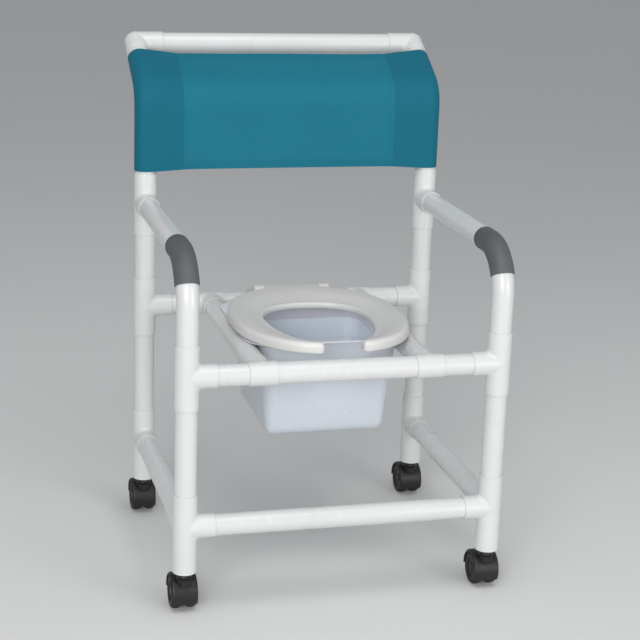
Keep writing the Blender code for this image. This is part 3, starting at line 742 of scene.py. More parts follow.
def build_fittings(scene):
    """The sixteen moulded fittings."""
    sizes = scene.commode_frame
    white = plastic("white_fitting", scene.commode_colours.fitting, 0.30, 420.0, 0.0002, 0.04,
                    Coat_Weight=0.08, Coat_Roughness=0.2)

    def add(node, mesh):
        place_piece(f"{node}_moulding", mesh, white, node, smooth=None)

    for name, sign in SIDES:
        inward = (-sign, 0, 0)
        for node, z, branches in (("front_low_fitting", LOW_Z, [inward, (0, 1, 0)]),
                                  ("rear_low_fitting", LOW_Z, [(0, -1, 0)]),
                                  ("front_seat_tee", SEAT_RAIL_Z, [inward]),
                                  ("rear_seat_tee", SEAT_RAIL_Z, [inward]),
                                  ("arm_tee", ARM_Z, [(0, -1, 0)])):
            node = f"{node}_{name}"
            add(node, post_fitting(sizes, node, z, branches, foot=z == LOW_Z))
        for end, y, way in (("front", FRONT_Y, 1), ("rear", REAR_Y, -1)):
            node = f"{end}_pail_rail_tee_{name}"
            centre = Vector((sign * RAIL_X, y, SEAT_RAIL_Z))
            across = Vector((span(node).x / 2, 0, 0))
            reach = Vector((0, way * (span(node).y - span(node).z / 2), 0))
            sleeves = [(centre - across, centre + across), (centre, centre + reach)]
            bores = [(centre - across * 1.3, centre + across * 1.3),
                     (centre, centre + reach * 1.05)]
            add(node, fitting_mesh(sizes, sleeves, bores))
        corner = Vector((sign * POST_X, PUSH_Y, PUSH_Z))
        down = corner - lean_direction(sizes) * (sizes.branch - PIPE_R)
        across = corner + Vector((-sign * sizes.branch, 0, 0))
        bores = [(corner, end + (end - corner) * 0.1) for end in (down, across)]
        add(f"push_rail_elbow_{name}",
            fitting_mesh(sizes, [(corner, down), (corner, across)], bores, balls=[corner]))


# ------------------------------------------------------------------ grips
def build_grips(scene):
    """The sleeves over the arm bends."""
    sizes = scene.commode_frame
    vinyl = grip_finish(scene.commode_colours)
    radius = PIPE_R + sizes.grip_wall
    for name, sign in SIDES:
        node = f"arm_grip_{name}"
        path = leg_arm_path(sizes, sign * POST_X)[1:-1]
        covered = [p for p in path if p.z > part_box(node)[0].z + 0.004]
        points = covered + straight(covered[-1], covered[-1] + Vector((0, sizes.grip_on_arm, 0)),
                                    0.005)[1:]
        mesh = rounded_bar(points, radius, 0.0016, 64)
        bore = [points[0] - (points[1] - points[0]) * 2, *points,
                points[-1] + (points[-1] - points[-2]) * 2]
        mesh = boolean(mesh, [bar(bore, PIPE_R + GAP, sides=64)], "DIFFERENCE")
        place_piece(f"{node}_sleeve", mesh, vinyl, node)


# ------------------------------------------------------------------ cloth back
def smoothstep(value):
    """Eases from 0 to 1."""
    value = np.clip(value, 0.0, 1.0)
    return value * value * (3 - 2 * value)


def sling_section(soft):
    """The cloth from one end to the other as (x, depth behind the post axes)."""
    wrap = PIPE_R + GAP + soft.cloth
    seam_x = POST_X - soft.pocket
    ahead = -soft.panel_ahead
    behind = ahead + 2.2 * soft.cloth

    def tangent(depth, side):
        reach = math.hypot(soft.pocket, depth)
        return math.pi + math.atan2(-depth, soft.pocket) - side * math.acos(wrap / reach)

    turn_from, turn_to = tangent(behind, 1), tangent(ahead, -1) - math.tau
    round_post = arc((POST_X, 0), wrap, turn_from, turn_to, 40)

    def run(start, end, steps):
        start, end = np.array(start), np.array(end)
        return [tuple(start + (end - start) * k / steps) for k in range(steps)]

    right = run((seam_x - soft.allowance, behind), (seam_x, behind), 4)
    right += run((seam_x, behind), round_post[0], 12) + round_post[:-1]
    right += run(round_post[-1], (seam_x, ahead), 14) + run((seam_x, ahead), (0.0, ahead), 40)
    right.append((0.0, ahead))
    return np.array(right + [(-x, d) for x, d in reversed(right[:-1])])


def sling_grid(sizes, soft, section):
    """Points of the cloth's middle surface, rows going up, with flat lengths."""
    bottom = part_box("back_sling")[0].z
    spine = rear_path(sizes, 0.0, bottom, soft.top_short, 24)
    fine = []
    for a, b in zip(spine, spine[1:]):
        fine += straight(a, b, 0.006)[:-1]
    spine = np.array([tuple(p) for p in [*fine, spine[-1]]])
    steps = np.linalg.norm(np.diff(spine, axis=0), axis=1)
    height = np.concatenate([[0.0], np.cumsum(steps)])
    width = np.concatenate([[0.0], np.cumsum(np.linalg.norm(np.diff(section, axis=0), axis=1))])
    seam_x = POST_X - soft.pocket
    inboard = smoothstep((POST_X - np.abs(section[:, 0])) / (soft.pocket * 1.5))
    panel = smoothstep((seam_x - np.abs(section[:, 0])) / 0.05)
    rows = []
    total = height[-1]
    for k, at in enumerate(height):
        share = at / total
        drop = soft.top_dip * share ** 2 * inboard
        lift = 0.003 * (1 - share) ** 3 * inboard
        place = np.clip(at - drop + lift, 0.0, total)
        y = np.interp(place, height, spine[:, 1])
        z = np.interp(place, height, spine[:, 2])
        ahead = np.stack([np.interp(np.minimum(place + 0.004, total), height, spine[:, c])
                          - np.interp(np.maximum(place - 0.004, 0), height, spine[:, c])
                          for c in (1, 2)], axis=1)
        ahead /= np.linalg.norm(ahead, axis=1)[:, None]
        depth = section[:, 1].copy()
        ripple = np.array([noise.noise(Vector((x * 7, at * 9, 3.0))) for x in section[:, 0]])
        sag = 0.005 * np.cos(np.pi * section[:, 0] / (2 * seam_x)) * math.sin(math.pi * share)
        depth = depth + panel * (0.0016 * ripple + np.maximum(sag, 0))
        rows.append(np.stack([section[:, 0], y + depth * ahead[:, 1], z - depth * ahead[:, 0]],
                             axis=1))
    return np.array(rows), width, height


def stitches(lines, soft, normal_of):
    """Thread laid as short stitches along lines of points."""
    points, faces = [], []
    thread_r, sides = 0.00045, 6
    for line in lines:
        lengths = np.concatenate([[0.0], np.cumsum(np.linalg.norm(np.diff(line, axis=0), axis=1))])
        count = int(lengths[-1] / (soft.stitch * 1.45))
        for k in range(count):
            start = lengths[-1] * (k + 0.15) / count
            stops = [start + soft.stitch * f for f in (0.0, 0.15, 0.5, 0.85, 1.0)]
            core = np.stack([np.interp(stops, lengths, line[:, c]) for c in range(3)], axis=1)
            along = core[-1] - core[0]
            along /= np.linalg.norm(along)
            out = normal_of(core[2])
            side = np.cross(along, out)
            lifts = (-0.0004, 0.0, 0.0003, 0.0, -0.0004)
            widths = (0.3, 0.85, 1.0, 0.85, 0.3)
            base = len(points)
            for c, lift, wide in zip(core, lifts, widths):
                for s in range(sides):
                    a = math.tau * s / sides
                    points.append(c + out * (lift + thread_r * wide * math.sin(a))
                                  + side * thread_r * wide * math.cos(a))
            faces += tube_faces(base, len(core), sides)
    mesh = mesh_from(points, faces)
    weld(mesh, 1e-7)
    return mesh


def build_sling(scene):
    """The cloth back and its stitching."""
    sizes, soft = scene.commode_frame, scene.commode_soft
    section = sling_section(soft)
    grid, width, height = sling_grid(sizes, soft, section)
    rows, columns = grid.shape[:2]
    faces = [(r * columns + c, r * columns + c + 1, (r + 1) * columns + c + 1, (r + 1) * columns + c)
             for r in range(rows - 1) for c in range(columns - 1)]
    mesh = mesh_from(grid.reshape(-1, 3), faces)
    uv = mesh.uv_layers.new(name="flat_cloth")
    for loop in mesh.loops:
        r, c = divmod(loop.vertex_index, columns)
        uv.data[loop.index].uv = (width[c], height[r])
    obj = bpy.data.objects.new("cloth", mesh)
    shell = obj.modifiers.new("cloth", "SOLIDIFY")
    shell.thickness = soft.cloth
    shell.offset = 0.0
    solid = evaluated(obj)
    ahead = np.abs(np.abs(section[:, 0]) - (POST_X - soft.pocket)) < 1e-6
    panel_half = width[-1] / 2 - width[np.nonzero(ahead)[0][1]]
    finish = cloth_finish(scene.commode_colours, float(width[-1] / 2), float(panel_half),
                          float(height[-1]), soft.hem)
    cloth = place_piece("sling_cloth", solid, finish, "back_sling", smooth=60)
    front = soft.cloth / 2 + 0.0002
    seam_x = POST_X - soft.pocket
    xs = grid[rows // 2, :, 0]
    on_panel = [c for c in range(columns) if abs(xs[c]) <= seam_x + 1e-6
                and columns * 0.25 < c < columns * 0.75]

    def lifted(points):
        """Points moved to the cloth's front face."""
        return np.array([p + normal_at(p) * front for p in points])

    def normal_at(p):
        """Direction out of the cloth's front, level with a point."""
        k = int(np.argmin(np.linalg.norm(grid[:, columns // 2, 1:] - p[1:], axis=1)))
        a, b = grid[max(k - 1, 0), columns // 2], grid[min(k + 1, rows - 1), columns // 2]
        up = (b - a) / np.linalg.norm(b - a)
        return np.array([0.0, -up[2], up[1]])

    def row_line(distance, from_top):
        """Line along a hem."""
        k = int(np.argmin(np.abs((height[-1] - height if from_top else height) - distance)))
        return grid[k, on_panel[0]:on_panel[-1] + 1]

    def seam_line(x):
        """Line up a pocket's seam."""
        line = []
        for r in range(2, rows - 2):
            row = grid[r, on_panel[0]:on_panel[-1] + 1]
            order = np.argsort(row[:, 0])
            line.append([np.interp(x, row[order, 0], row[order, c]) for c in range(3)])
        return np.array(line)

    lines = [row_line(soft.hem, True), row_line(soft.hem, False)]
    for sign in (-1, 1):
        lines += [seam_line(sign * (seam_x - 0.002)), seam_line(sign * (seam_x - 0.009))]
    thread = Finish("sewing_thread", 0.5)
    base = tuple(scene.commode_colours.thread)
    thread.colour(thread.mix(thread.noise(900.0), tint(base, 0.85), tint(base, 1.15)))
    seams = place_piece("sling_stitching", stitches([lifted(line) for line in lines], soft,
                                                    normal_at), thread.material, "back_sling",
                        stands_for=False)


# ------------------------------------------------------------------ seat
def superellipse(turn, half_x, half_y, power):
    """A point on a rounded-off ellipse."""
    c, s = math.cos(turn), math.sin(turn)
    return np.array([math.copysign(abs(c) ** (2 / power), c) * half_x,
                     math.copysign(abs(s) ** (2 / power), s) * half_y])


def resample(points, stops):
    """Points of a line at shares of its length."""
    points = np.array(points)
    run = np.concatenate([[0.0], np.cumsum(np.linalg.norm(np.diff(points, axis=0), axis=1))])
    return np.stack([np.interp(stops * run[-1], run, points[:, c]) for c in (0, 1)], axis=1)


def seat_edges(seat):
    """Outer edge and hole edge in plan, both from the right arm's tip to the left one's."""
    low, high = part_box("seat_ring")
    half_x, mid_y = (high.x - low.x) / 2, low.y + seat.half_length
    tongue_blend = 0.013
    outer, inner = [], []
    for turn in np.radians(np.linspace(-89.9, 269.9, 721)):
        x, y = superellipse(turn, half_x, seat.half_length, 2.3)
        if y > 0:
            rise = smoothstep((seat.tongue_half + 0.0115 - abs(x)) / tongue_blend)
            y += (high.y - mid_y - y) * float(rise)
        if abs(x) >= seat.gap_half or y > 0:
            outer.append((x, y + mid_y))
        if math.sin(turn) > 0:
            x, y = superellipse(turn, seat.hole_half, seat.hole_rear, 2.3)
        else:
            x, y = superellipse(turn, seat.hole_half, seat.hole_front, 2.0)
        if abs(x) >= seat.gap_half or y > 0:
            inner.append((x, y + mid_y))
    return outer, inner


def edge_distance(points, outline):
    """Distance from each point to a polyline's points and segments."""
    a, b = outline[:-1], outline[1:]
    best = np.full(len(points), 1e9)
    for start in range(0, len(points), 2000):
        p = points[start:start + 2000, None, :]
        d = b - a
        t = np.clip(np.sum((p - a) * d, axis=2) / np.maximum(np.sum(d * d, axis=1), 1e-12), 0, 1)
        gap = np.linalg.norm(p - (a + t[:, :, None] * d), axis=2)
        best[start:start + 2000] = gap.min(axis=1)
    return best


def round_off(distance, radius):
    """Drop of a rounded edge at a distance inside it."""
    inside = np.clip(radius - distance, 0, None)
    return radius - np.sqrt(np.maximum(radius ** 2 - inside ** 2, 0))


def seat_mesh(seat):
    """The ring, from one arm's tip to the other, dished toward the hole."""
    outer, inner = seat_edges(seat)
    total, ring_width = 1.25, 0.071  # nominal, to space the points
    near = np.array([0.0, 0.0004, 0.001, 0.002, 0.0033, 0.005, 0.007, 0.0095, 0.0125, 0.016, 0.02])
    middle_stops = np.linspace(0.024, total - 0.024, 330)
    runs = np.concatenate([near, middle_stops, total - near[::-1]])
    across = np.concatenate([near[:9] / ring_width, np.linspace(0.24, 0.76, 8),
                             1 - near[:9][::-1] / ring_width])
    tip_reach, tip_width = 0.060, 0.049
    plan = np.zeros((len(runs), len(across), 2))
    fine = np.linspace(0, 1, 2400)
    outer_fine, inner_fine = resample(outer, fine), resample(inner, fine)
    for j, s in enumerate(across):
        beside = min(s, 1 - s) * tip_width
        retreat = float(round_off(np.array([beside]), seat.tip_corner)[0])
        from_tip = np.minimum(runs, total - runs)
        pushed = np.where(from_tip < tip_reach,
                          retreat + from_tip * (1 - retreat / tip_reach), from_tip)
        share = np.where(runs < total / 2, pushed, total - pushed) / total
        for axis in (0, 1):
            o = np.interp(share, fine, outer_fine[:, axis])
            i = np.interp(share, fine, inner_fine[:, axis])
            plan[:, j, axis] = o + (i - o) * s
    flat = plan.reshape(-1, 2)
    rim = np.concatenate([plan[:, 0], plan[-1, 1:], plan[::-1, -1][1:], plan[0, ::-1][1:]])
    outer_line, inner_line = plan[:, 0], plan[:, -1]
    to_rim = edge_distance(flat, rim)
    to_outer, to_inner = edge_distance(flat, outer_line), edge_distance(flat, inner_line)
    low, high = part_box("seat_ring")
    share = to_outer / np.maximum(to_outer + to_inner, 1e-9)
    radius = seat.outer_edge + (seat.inner_edge - seat.outer_edge) * smoothstep((share - 0.3) / 0.4)
    behind = smoothstep((flat[:, 1] - 0.085) / 0.05)
    dish = seat.dish * smoothstep((share - 0.30) / 0.70) * (1 - behind)
    top = high.z - dish - round_off(to_rim, radius)
    bead = 0.0012 * np.exp(-((to_inner - 0.005) / 0.003) ** 2) * (1 - behind)
    top = np.minimum(top + bead, high.z)
    under = low.z + round_off(to_rim, 0.003)
    return closed_sheet(np.column_stack([flat, top]).reshape(*plan.shape[:2], 3),
                        np.column_stack([flat, under]).reshape(*plan.shape[:2], 3), 0.00002)


def build_seat(scene):
    """The seat ring and its pads."""
    colours = scene.commode_colours
    shell = plastic("seat_shell_plastic", colours.seat, 0.34, 300.0, 0.0003, 0.05,
                    Coat_Weight=0.10, Coat_Roughness=0.3)
    place_piece("seat_shell", seat_mesh(scene.commode_seat), shell, "seat_ring", smooth=50)
    rubber = plastic("pad_rubber", colours.pad, 0.6, 500.0, 0.0003)
    for end in ENDS:
        for name, _ in SIDES:
            node = f"seat_bumper_{end}_{name}"
            centre, size = middle(node), span(node)
            profile = rounded_profile(size.x / 2, size.z, 0.001)
            place_piece(f"{node}_pad", turned(profile, centre, sides=32), rubber, node)


# ------------------------------------------------------------------ hinge
def build_hinge(scene):
    """The two clamps on the rear seat rail, and the pin."""
    colours = scene.commode_colours
    moulded = plastic("hinge_plastic", colours.seat, 0.36, 360.0, 0.0003)
    steel = steel_finish(colours)
    knuckle = HINGE.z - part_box("seat_ring")[0].z + 0.0012
    for name, _ in SIDES:
        node = f"hinge_bracket_{name}"
        low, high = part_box(node)
        outline = belt((HINGE.y, HINGE.z), knuckle, (REAR_Y, SEAT_RAIL_Z), high.y - REAR_Y)
        bore = bar([(low.x - 0.01, REAR_Y, SEAT_RAIL_Z), (high.x + 0.01, REAR_Y, SEAT_RAIL_Z)],
                   PIPE_R + GAP, sides=64)
        mesh = boolean(slab(outline, low.x, high.x, 0.0022), [bore], "DIFFERENCE")
        place_piece(f"{node}_clamp", mesh, moulded, node)
    centre, size = middle("hinge_pin"), span("hinge_pin")
    profile = rounded_profile(size.z / 2, size.x, 0.0006)
    place_piece("hinge_pin_rod", turned(profile, centre, "X", 32), steel, "hinge_pin")


def belt(centre_a, radius_a, centre_b, radius_b):
    """The belt line round two circles in the (y, z) plane."""
    a, b = Vector(centre_a), Vector(centre_b)
    heading = math.atan2(b.y - a.y, b.x - a.x)
    spread = math.acos((radius_a - radius_b) / (b - a).length)
    return (arc(a, radius_a, heading + spread, heading + math.tau - spread, 24)
            + arc(b, radius_b, heading - spread, heading + spread, 24))


def slab(outline, low, high, edge):
    """An outline in (y, z) made solid along X, with rounded rims."""
    points = np.array(outline)
    along = np.roll(points, -1, axis=0) - np.roll(points, 1, axis=0)
    along /= np.maximum(np.linalg.norm(along, axis=1), 1e-9)[:, None]
    out = np.stack([along[:, 1], -along[:, 0]], axis=1)
    if np.sum(out * (points - points.mean(axis=0))) < 0:
        out = -out
    rings = [(low + step, inset) for step, inset in rim(edge)]
    rings += [(high - step, inset) for step, inset in reversed(rim(edge))]
    mesh = loft([[(x, y, z) for y, z in points - out * inset] for x, inset in rings])
    weld(mesh, 1e-6)
    return mesh


# ------------------------------------------------------------------ pail
def pail_outline(sizes, z, inset, end_inset):
    """A level outline pulled in from the rim by inset at the sides and end_inset."""
    low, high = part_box("pail")
    front = low.y + sizes.end_flange + end_inset
    back = high.y - sizes.end_flange - end_inset
    half = high.x - sizes.side_flange - inset
    radius = max(sizes.corner - end_inset, sizes.foot_corner)
    x, front, back = half - radius, front + radius, back - radius
    quarter = math.pi / 2
    outline = []
    for turn, centre in enumerate(((x, back), (-x, back), (-x, front), (x, front))):
        outline += arc(centre, radius, turn * quarter, (turn + 1) * quarter, 12)
    return [(x, y, z) for x, y in outline]


def pail_finish(scene):
    """Milky plastic. Its inside is painted paler than its outside, as painted light for the light
    that passes to and fro between the walls, and above the inner line it is painted a darker lilac.
    """
    colours = scene.commode_colours
    finish = Finish("pail_plastic", 0.32, Coat_Weight=0.12, Coat_Roughness=0.25)
    place = finish.nodes.new("ShaderNodeNewGeometry")
    low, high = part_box("pail")
    above_mouth = ((low.x + high.x) / 2, (low.y + high.y) / 2, high.z + 0.2)
    offset, facing = (finish.nodes.new("ShaderNodeVectorMath") for _ in range(2))
    offset.operation, facing.operation = "SUBTRACT", "DOT_PRODUCT"
    offset.inputs[1].default_value = above_mouth
    finish.links.new(place.outputs["Position"], offset.inputs[0])
    finish.links.new(offset.outputs["Vector"], facing.inputs[0])
    finish.links.new(place.outputs["Normal"], facing.inputs[1])
    # mask of the pail's inside, where the painted light goes
    inside = finish.remap(facing.outputs["Value"], -0.03, -0.02, 1.0, 0.0)
    line = scene.commode_pail.line
    above = finish.remap(finish.split(place.outputs["Position"])["Z"], line, line + 0.001)
    clouds = finish.noise(9.0, 3.0)
    # painted light: the inside is painted paler than the outside, less so and lilac above the line
    outer, top_inside_painted_light, lower_inside_painted_light = (finish.mix(clouds, tint(base, 1 - swing), tint(base, 1 + swing))
                              for base, swing in ((tuple(colours.pail), 0.03),
                                                  (tuple(colours.pail_inside_top_painted_light), 0.026),
                                                  (tuple(colours.pail_inside_painted_light), 0.02)))
    finish.colour(finish.mix(inside, outer, finish.mix(above, lower_inside_painted_light, top_inside_painted_light)))
    finish.roughness(finish.remap(finish.noise(60.0, 3.0), 0.3, 0.7, 0.27, 0.38))
    finish.bump(finish.noise(240.0, 3.0), 0.12, 0.0003)
    return finish.material


def build_pail(scene):
    """The pail, as one loft from its bottom over the rim and down inside."""
    sizes = scene.commode_pail
    low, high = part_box("pail")
    wall, foot = sizes.wall, sizes.foot
    flange_z, line_z = high.z - wall, sizes.line - wall

    def outline(z, inset, end_inset):
        return pail_outline(sizes, z, inset, end_inset)

    def ring(z, inset):
        """The tapered wall's outline at a height, pulled in by inset."""
        depth = flange_z - z
        below = 1 - float(smoothstep((z - sizes.shoulder + 0.004) / 0.004))
        step = sizes.shoulder_step * below + inset
        return outline(z, sizes.side_draft * depth + step, sizes.end_draft * depth + step)

    walls = [(low.z + along, inset) for along, inset in rim(foot, 8)]
    for start, stop, count in ((low.z + 0.03, sizes.shoulder - 0.007, 8),
                               (sizes.shoulder - 0.005, sizes.shoulder + 0.002, 8),
                               (sizes.shoulder + 0.006, line_z - 0.002, 4),
                               (line_z - 0.001, line_z + 0.001, 5),
                               (line_z + 0.002, flange_z - 0.004, 4)):
        walls += [(z, 0.0) for z in np.linspace(start, stop, count)]
    lip, turns = wall / 2, np.linspace(0, math.pi / 2, 5)
    rings = [ring(low.z, 3 * foot), ring(low.z, 2 * foot)]
    rings += [ring(z, inset) for z, inset in walls]
    for turn in turns:
        spread = -0.9 * sizes.rim * (1 - math.cos(turn))
        rings.append(outline(flange_z - sizes.rim * (1 - math.sin(turn)), spread, spread))
    rings += [outline(flange_z + lip + z, lip - sizes.side_flange - out,
                      lip - sizes.end_flange - out)
              for out, z in arc((0, 0), lip, -math.pi / 2, math.pi / 2, 6)]
    rings.append(outline(high.z, -0.004, -0.002))
    for turn in turns:
        inset = wall - sizes.rim * (1 - math.sin(turn))
        rings.append(outline(high.z - sizes.rim * (1 - math.cos(turn)), inset, inset))
    for z, inset in reversed(walls[:-1]):
        groove = max(0.0, sizes.groove - abs(z - line_z))
        rings.append(ring(z + wall, inset + wall * 1.02 - groove))
    rings.append(ring(low.z + wall, 3 * foot))
    mesh = loft(rings)
    weld(mesh, 0.00001)
    place_piece("pail_shell", mesh, pail_finish(scene), "pail", smooth=45)


# ------------------------------------------------------------------ casters
def hood_mesh(sizes, node, axle):
    """A swivel housing: fender over both wheels, web between them and a neck."""
    low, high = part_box(node)
    half, x = (high.x - low.x) / 2, (low.x + high.x) / 2
    start, stop = sizes.fender_from, sizes.fender_to
    turn = np.linspace(start, stop, 72)[:, None]
    across = np.linspace(-1, 1, 24)[None, :] + 0 * turn
    rounded = np.maximum(np.abs(across) - 0.80, 0) / 0.20
    drop = 0.0030 * (1 - np.sqrt(np.maximum(1 - rounded ** 2, 0)))

    def skin(radius, inset):
        """Grid of the fender's outer or inner face."""
        return np.stack([x + across * (half - inset), axle.y + (radius - drop) * np.cos(turn),
                         axle.z + (radius - drop) * np.sin(turn)], axis=2)

    fender = closed_sheet(skin(sizes.fender, 0.0), skin(sizes.well, 0.0006), 1e-6)
    centre = (axle.y, axle.z)
    web_r = sizes.fender - 0.0015
    outline = (arc(centre, web_r, start, stop, 40)
               + arc(centre, sizes.hub, stop + 0.3, math.tau + start - 0.3, 20))
    web = slab(outline, x - sizes.web / 2, x + sizes.web / 2, 0.0008)
    top, neck, fillet = high.z, sizes.neck, 0.005
    profile = [(neck - 0.0035, axle.z + 0.0200), (neck - 0.0020, axle.z + 0.0280),
               (neck - 0.0005, axle.z + 0.0360)]
    profile += arc((neck, axle.z + 0.0422), fillet, -math.pi / 2, -math.pi, 8)
    profile += [(neck - fillet, top - 0.001), (neck - fillet - 0.0005, top - 0.0002),
                (neck - fillet - 0.0009, top)]
    stem = turned(profile, (x, FRONT_Y if "front" in node else REAR_Y, 0.0), sides=40)
    well = bar([(x - half - 0.01, *centre), (x + half + 0.01, *centre)], sizes.well, sides=96)
    return boolean(fender, [web, boolean(stem, [well], "DIFFERENCE")], "UNION")


def wheel_meshes(sizes, node):
    """A twin caster's wheel: the rubber tread and the dished plastic core."""
    low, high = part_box(node)
    centre, wide = (low + high) / 2, (high.x - low.x) / 2
    radius = sizes.wheel
    core_r = radius * 0.80

    def mirrored(half_profile):
        """A profile from (radius, depth below the face), and back from the other face."""
        side = [(r, depth - wide) for r, depth in half_profile]
        return side + [(r, -h) for r, h in reversed(side)]

    tread = mirrored([(core_r, 0.0018), (core_r + 0.0008, 0.0006), (radius - 0.0055, 0.0001),
                      (radius - 0.0030, 0.0010), (radius - 0.0011, 0.0030),
                      (radius - 0.0002, 0.0060), (radius, 0.0080)])
    bore = turned([(core_r - 0.0002, -wide * 2), (core_r - 0.0002, wide * 2)], centre, "X", 72)
    tyre = boolean(turned(tread, centre, "X", 72), [bore], "DIFFERENCE")
    core = mirrored([(0.0002, 0.0020), (0.0045, 0.0020), (0.0080, 0.0016), (0.0088, 0.0022),
                     (0.0100, 0.0042), (0.0190, 0.0046), (0.0212, 0.0030), (0.0224, 0.0014),
                     (core_r - 0.0008, 0.0010), (core_r, 0.0018)])
    return tyre, turned(core, centre, "X", 72)


def build_casters(scene):
    """Hood, stem, axle and two wheels at each corner."""
    sizes, colours = scene.commode_caster, scene.commode_colours
    nylon = nylon_finish("caster_nylon", colours.nylon, 0.42)
    rubber = nylon_finish("tread_rubber", colours.tread, 0.62)
    steel = steel_finish(colours)
    for end in ENDS:
        for name, _ in SIDES:
            corner = f"{end}_{name}"
            axle = Vector(JOINTS[f"spin_{corner}_left"]["pos_m"])
            node = f"caster_hood_{corner}"
            place_piece(f"{node}_shell", hood_mesh(sizes, node, axle), nylon, node, smooth=40)
            for kind, axis in (("stem", "Z"), ("axle", "X")):
                node = f"caster_{kind}_{corner}"
                centre, size = middle(node), span(node)
                long = size.z if axis == "Z" else size.x
                profile = rounded_profile(size.y / 2, long, 0.0006)
                place_piece(f"{node}_rod", turned(profile, centre, axis, 32), steel, node)
            for wheel, _ in SIDES:
                node = f"caster_wheel_{corner}_{wheel}"
                tyre, core = wheel_meshes(sizes, node)
                place_piece(f"{node}_tread", tyre, rubber, node)
                disc = place_piece(f"{node}_disc", core, nylon, node, stands_for=False)


# ------------------------------------------------------------------ studio
def area_light(name, place, size, power):
    """A round softbox turned to the chair's middle."""
    data = bpy.data.lights.new(name, "AREA")
    data.shape = "DISK"
    data.size = size
    data.energy = power
    light = bpy.data.objects.new(name, data)
    light.location = place
    aim = Vector((0.0, -0.05, 0.55)) - Vector(place)
    light.rotation_euler = aim.to_track_quat("-Z", "Y").to_euler()
    bpy.context.scene.collection.objects.link(light)


def build_studio(scene):
    """Floor, light and camera."""
    studio = scene.commode_studio
    floor_mesh = mesh_from([(-30, -30, 0), (30, -30, 0), (30, 40, 0), (-30, 40, 0)],
                           [(0, 1, 2, 3)])
    floor = bpy.data.objects.new("studio_floor", floor_mesh)
    scene.collection.objects.link(floor)
    finish = Finish("studio_floor", 0.85, Specular_IOR_Level=0.2)
    base = tuple(scene.commode_colours.floor)
    finish.colour(finish.mix(finish.noise(1.5, 2.0), tint(base, 0.98), tint(base, 1.01)))
    floor_mesh.materials.append(finish.material)

    world = bpy.data.worlds.new("studio")
    world.use_nodes = True
    background = world.node_tree.nodes["Background"]
    background.inputs["Color"].default_value = (0.93, 0.96, 1.0, 1.0)
    background.inputs["Strength"].default_value = 0.42
    scene.world = world
    area_light("key", (-2.1, -4.3, 1.8), 2.6, 118)
    area_light("fill", (2.4, -3.6, 1.0), 2.2, 50)
    area_light("top", (-0.2, -1.4, 3.6), 2.4, 40)

    camera = bpy.data.objects.new("camera", bpy.data.cameras.new("camera"))
    camera.data.lens = studio.lens
    camera.data.sensor_width = 36.0
    camera.data.clip_end = 100.0
    turn = (Matrix.Rotation(-studio.heading, 3, "Z")
            @ Matrix.Rotation(math.pi / 2 - studio.pitch, 3, "X")
            @ Matrix.Rotation(studio.roll, 3, "Z"))
    camera.rotation_euler = turn.to_euler()
    camera.location = studio.place
    scene.collection.objects.link(camera)
    scene.camera = camera
    scene.view_settings.view_transform = "Standard"


# ------------------------------------------------------------------ operators
class CommodeOperator:
    """Shared by the chair's operators: each builds its pieces in the current scene."""
    bl_options = {"REGISTER", "UNDO"}

    def execute(self, context):
        self.build(context.scene)
        return {"FINISHED"}


class COMMODE_OT_pipes(CommodeOperator, bpy.types.Operator):
    """Build the frame's twelve pipes"""
    bl_idname = "commode.pipes"
    bl_label = "Pipes"
    build = staticmethod(build_pipes)


class COMMODE_OT_fittings(CommodeOperator, bpy.types.Operator):
    """Build the moulded fittings that join the pipes"""
    bl_idname = "commode.fittings"
    bl_label = "Fittings"
    build = staticmethod(build_fittings)


class COMMODE_OT_grips(CommodeOperator, bpy.types.Operator):
    """Build the vinyl grips over the arm bends"""
    bl_idname = "commode.grips"
    bl_label = "Arm Grips"
    build = staticmethod(build_grips)


class COMMODE_OT_sling(CommodeOperator, bpy.types.Operator):
    """Build the sewn cloth back"""
    bl_idname = "commode.sling"
    bl_label = "Cloth Back"
    build = staticmethod(build_sling)


class COMMODE_OT_seat(CommodeOperator, bpy.types.Operator):
    """Build the open-front seat and its pads"""
    bl_idname = "commode.seat"
    bl_label = "Seat"
    build = staticmethod(build_seat)


class COMMODE_OT_hinge(CommodeOperator, bpy.types.Operator):
    """Build the seat hinge's clamps and pin"""
    bl_idname = "commode.hinge"
    bl_label = "Seat Hinge"
    build = staticmethod(build_hinge)


class COMMODE_OT_pail(CommodeOperator, bpy.types.Operator):
    """Build the pail under the seat"""
    bl_idname = "commode.pail"
    bl_label = "Pail"
    build = staticmethod(build_pail)


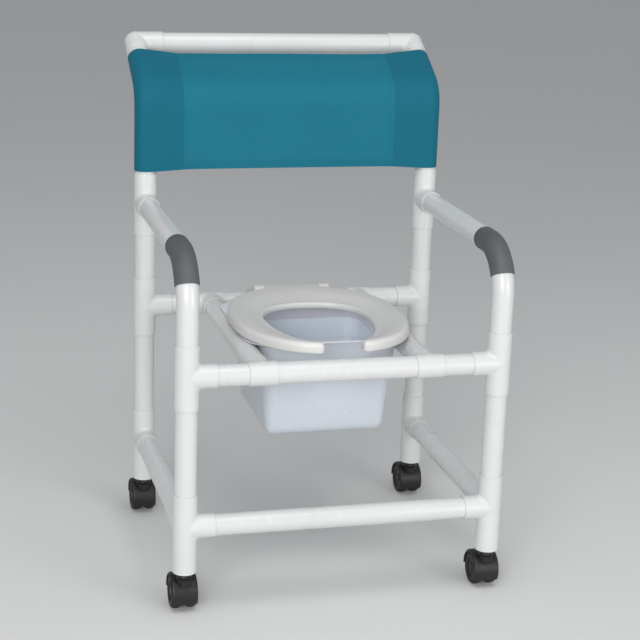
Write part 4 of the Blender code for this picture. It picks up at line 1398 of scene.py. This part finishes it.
class COMMODE_OT_casters(CommodeOperator, bpy.types.Operator):
    """Build the four twin-wheel casters"""
    bl_idname = "commode.casters"
    bl_label = "Casters"
    build = staticmethod(build_casters)


class COMMODE_OT_studio(CommodeOperator, bpy.types.Operator):
    """Build the studio: floor, lights and camera"""
    bl_idname = "commode.studio"
    bl_label = "Studio"
    build = staticmethod(build_studio)


OPERATORS = (COMMODE_OT_pipes, COMMODE_OT_fittings, COMMODE_OT_grips, COMMODE_OT_sling,
             COMMODE_OT_seat, COMMODE_OT_hinge, COMMODE_OT_pail, COMMODE_OT_casters,
             COMMODE_OT_studio)
GROUPS = {"commode_frame": CommodeFrameSizes, "commode_soft": CommodeSoftSizes,
          "commode_seat": CommodeSeatSizes, "commode_pail": CommodePailSizes,
          "commode_caster": CommodeCasterSizes, "commode_colours": CommodeColours,
          "commode_studio": CommodeStudio}


class COMMODE_PT_panel(bpy.types.Panel):
    """Sizes, colours and build steps of the commode chair"""
    bl_idname = "COMMODE_PT_panel"
    bl_label = "Commode Chair"
    bl_space_type = "VIEW_3D"
    bl_region_type = "UI"
    bl_category = "Commode Chair"

    def draw(self, context):
        for group, kind in GROUPS.items():
            box = self.layout.box()
            for name in kind.__annotations__:
                box.prop(getattr(context.scene, group), name)
        for operator in OPERATORS:
            self.layout.operator(operator.bl_idname)


def register():
    """Adds the properties, operators and panel."""
    for group, kind in GROUPS.items():
        bpy.utils.register_class(kind)
        setattr(bpy.types.Scene, group, PointerProperty(type=kind))
    for kind in (*OPERATORS, COMMODE_PT_panel):
        bpy.utils.register_class(kind)


def unregister():
    """Takes away what register added."""
    for kind in (COMMODE_PT_panel, *reversed(OPERATORS)):
        bpy.utils.unregister_class(kind)
    for group, kind in GROUPS.items():
        delattr(bpy.types.Scene, group)
        bpy.utils.unregister_class(kind)


def main():
    """Builds the chair."""
    register()
    for operator in OPERATORS:
        getattr(bpy.ops.commode, operator.bl_idname.split(".")[1])()
    bpy.context.view_layer.update()


if __name__ == "__main__":
    main()
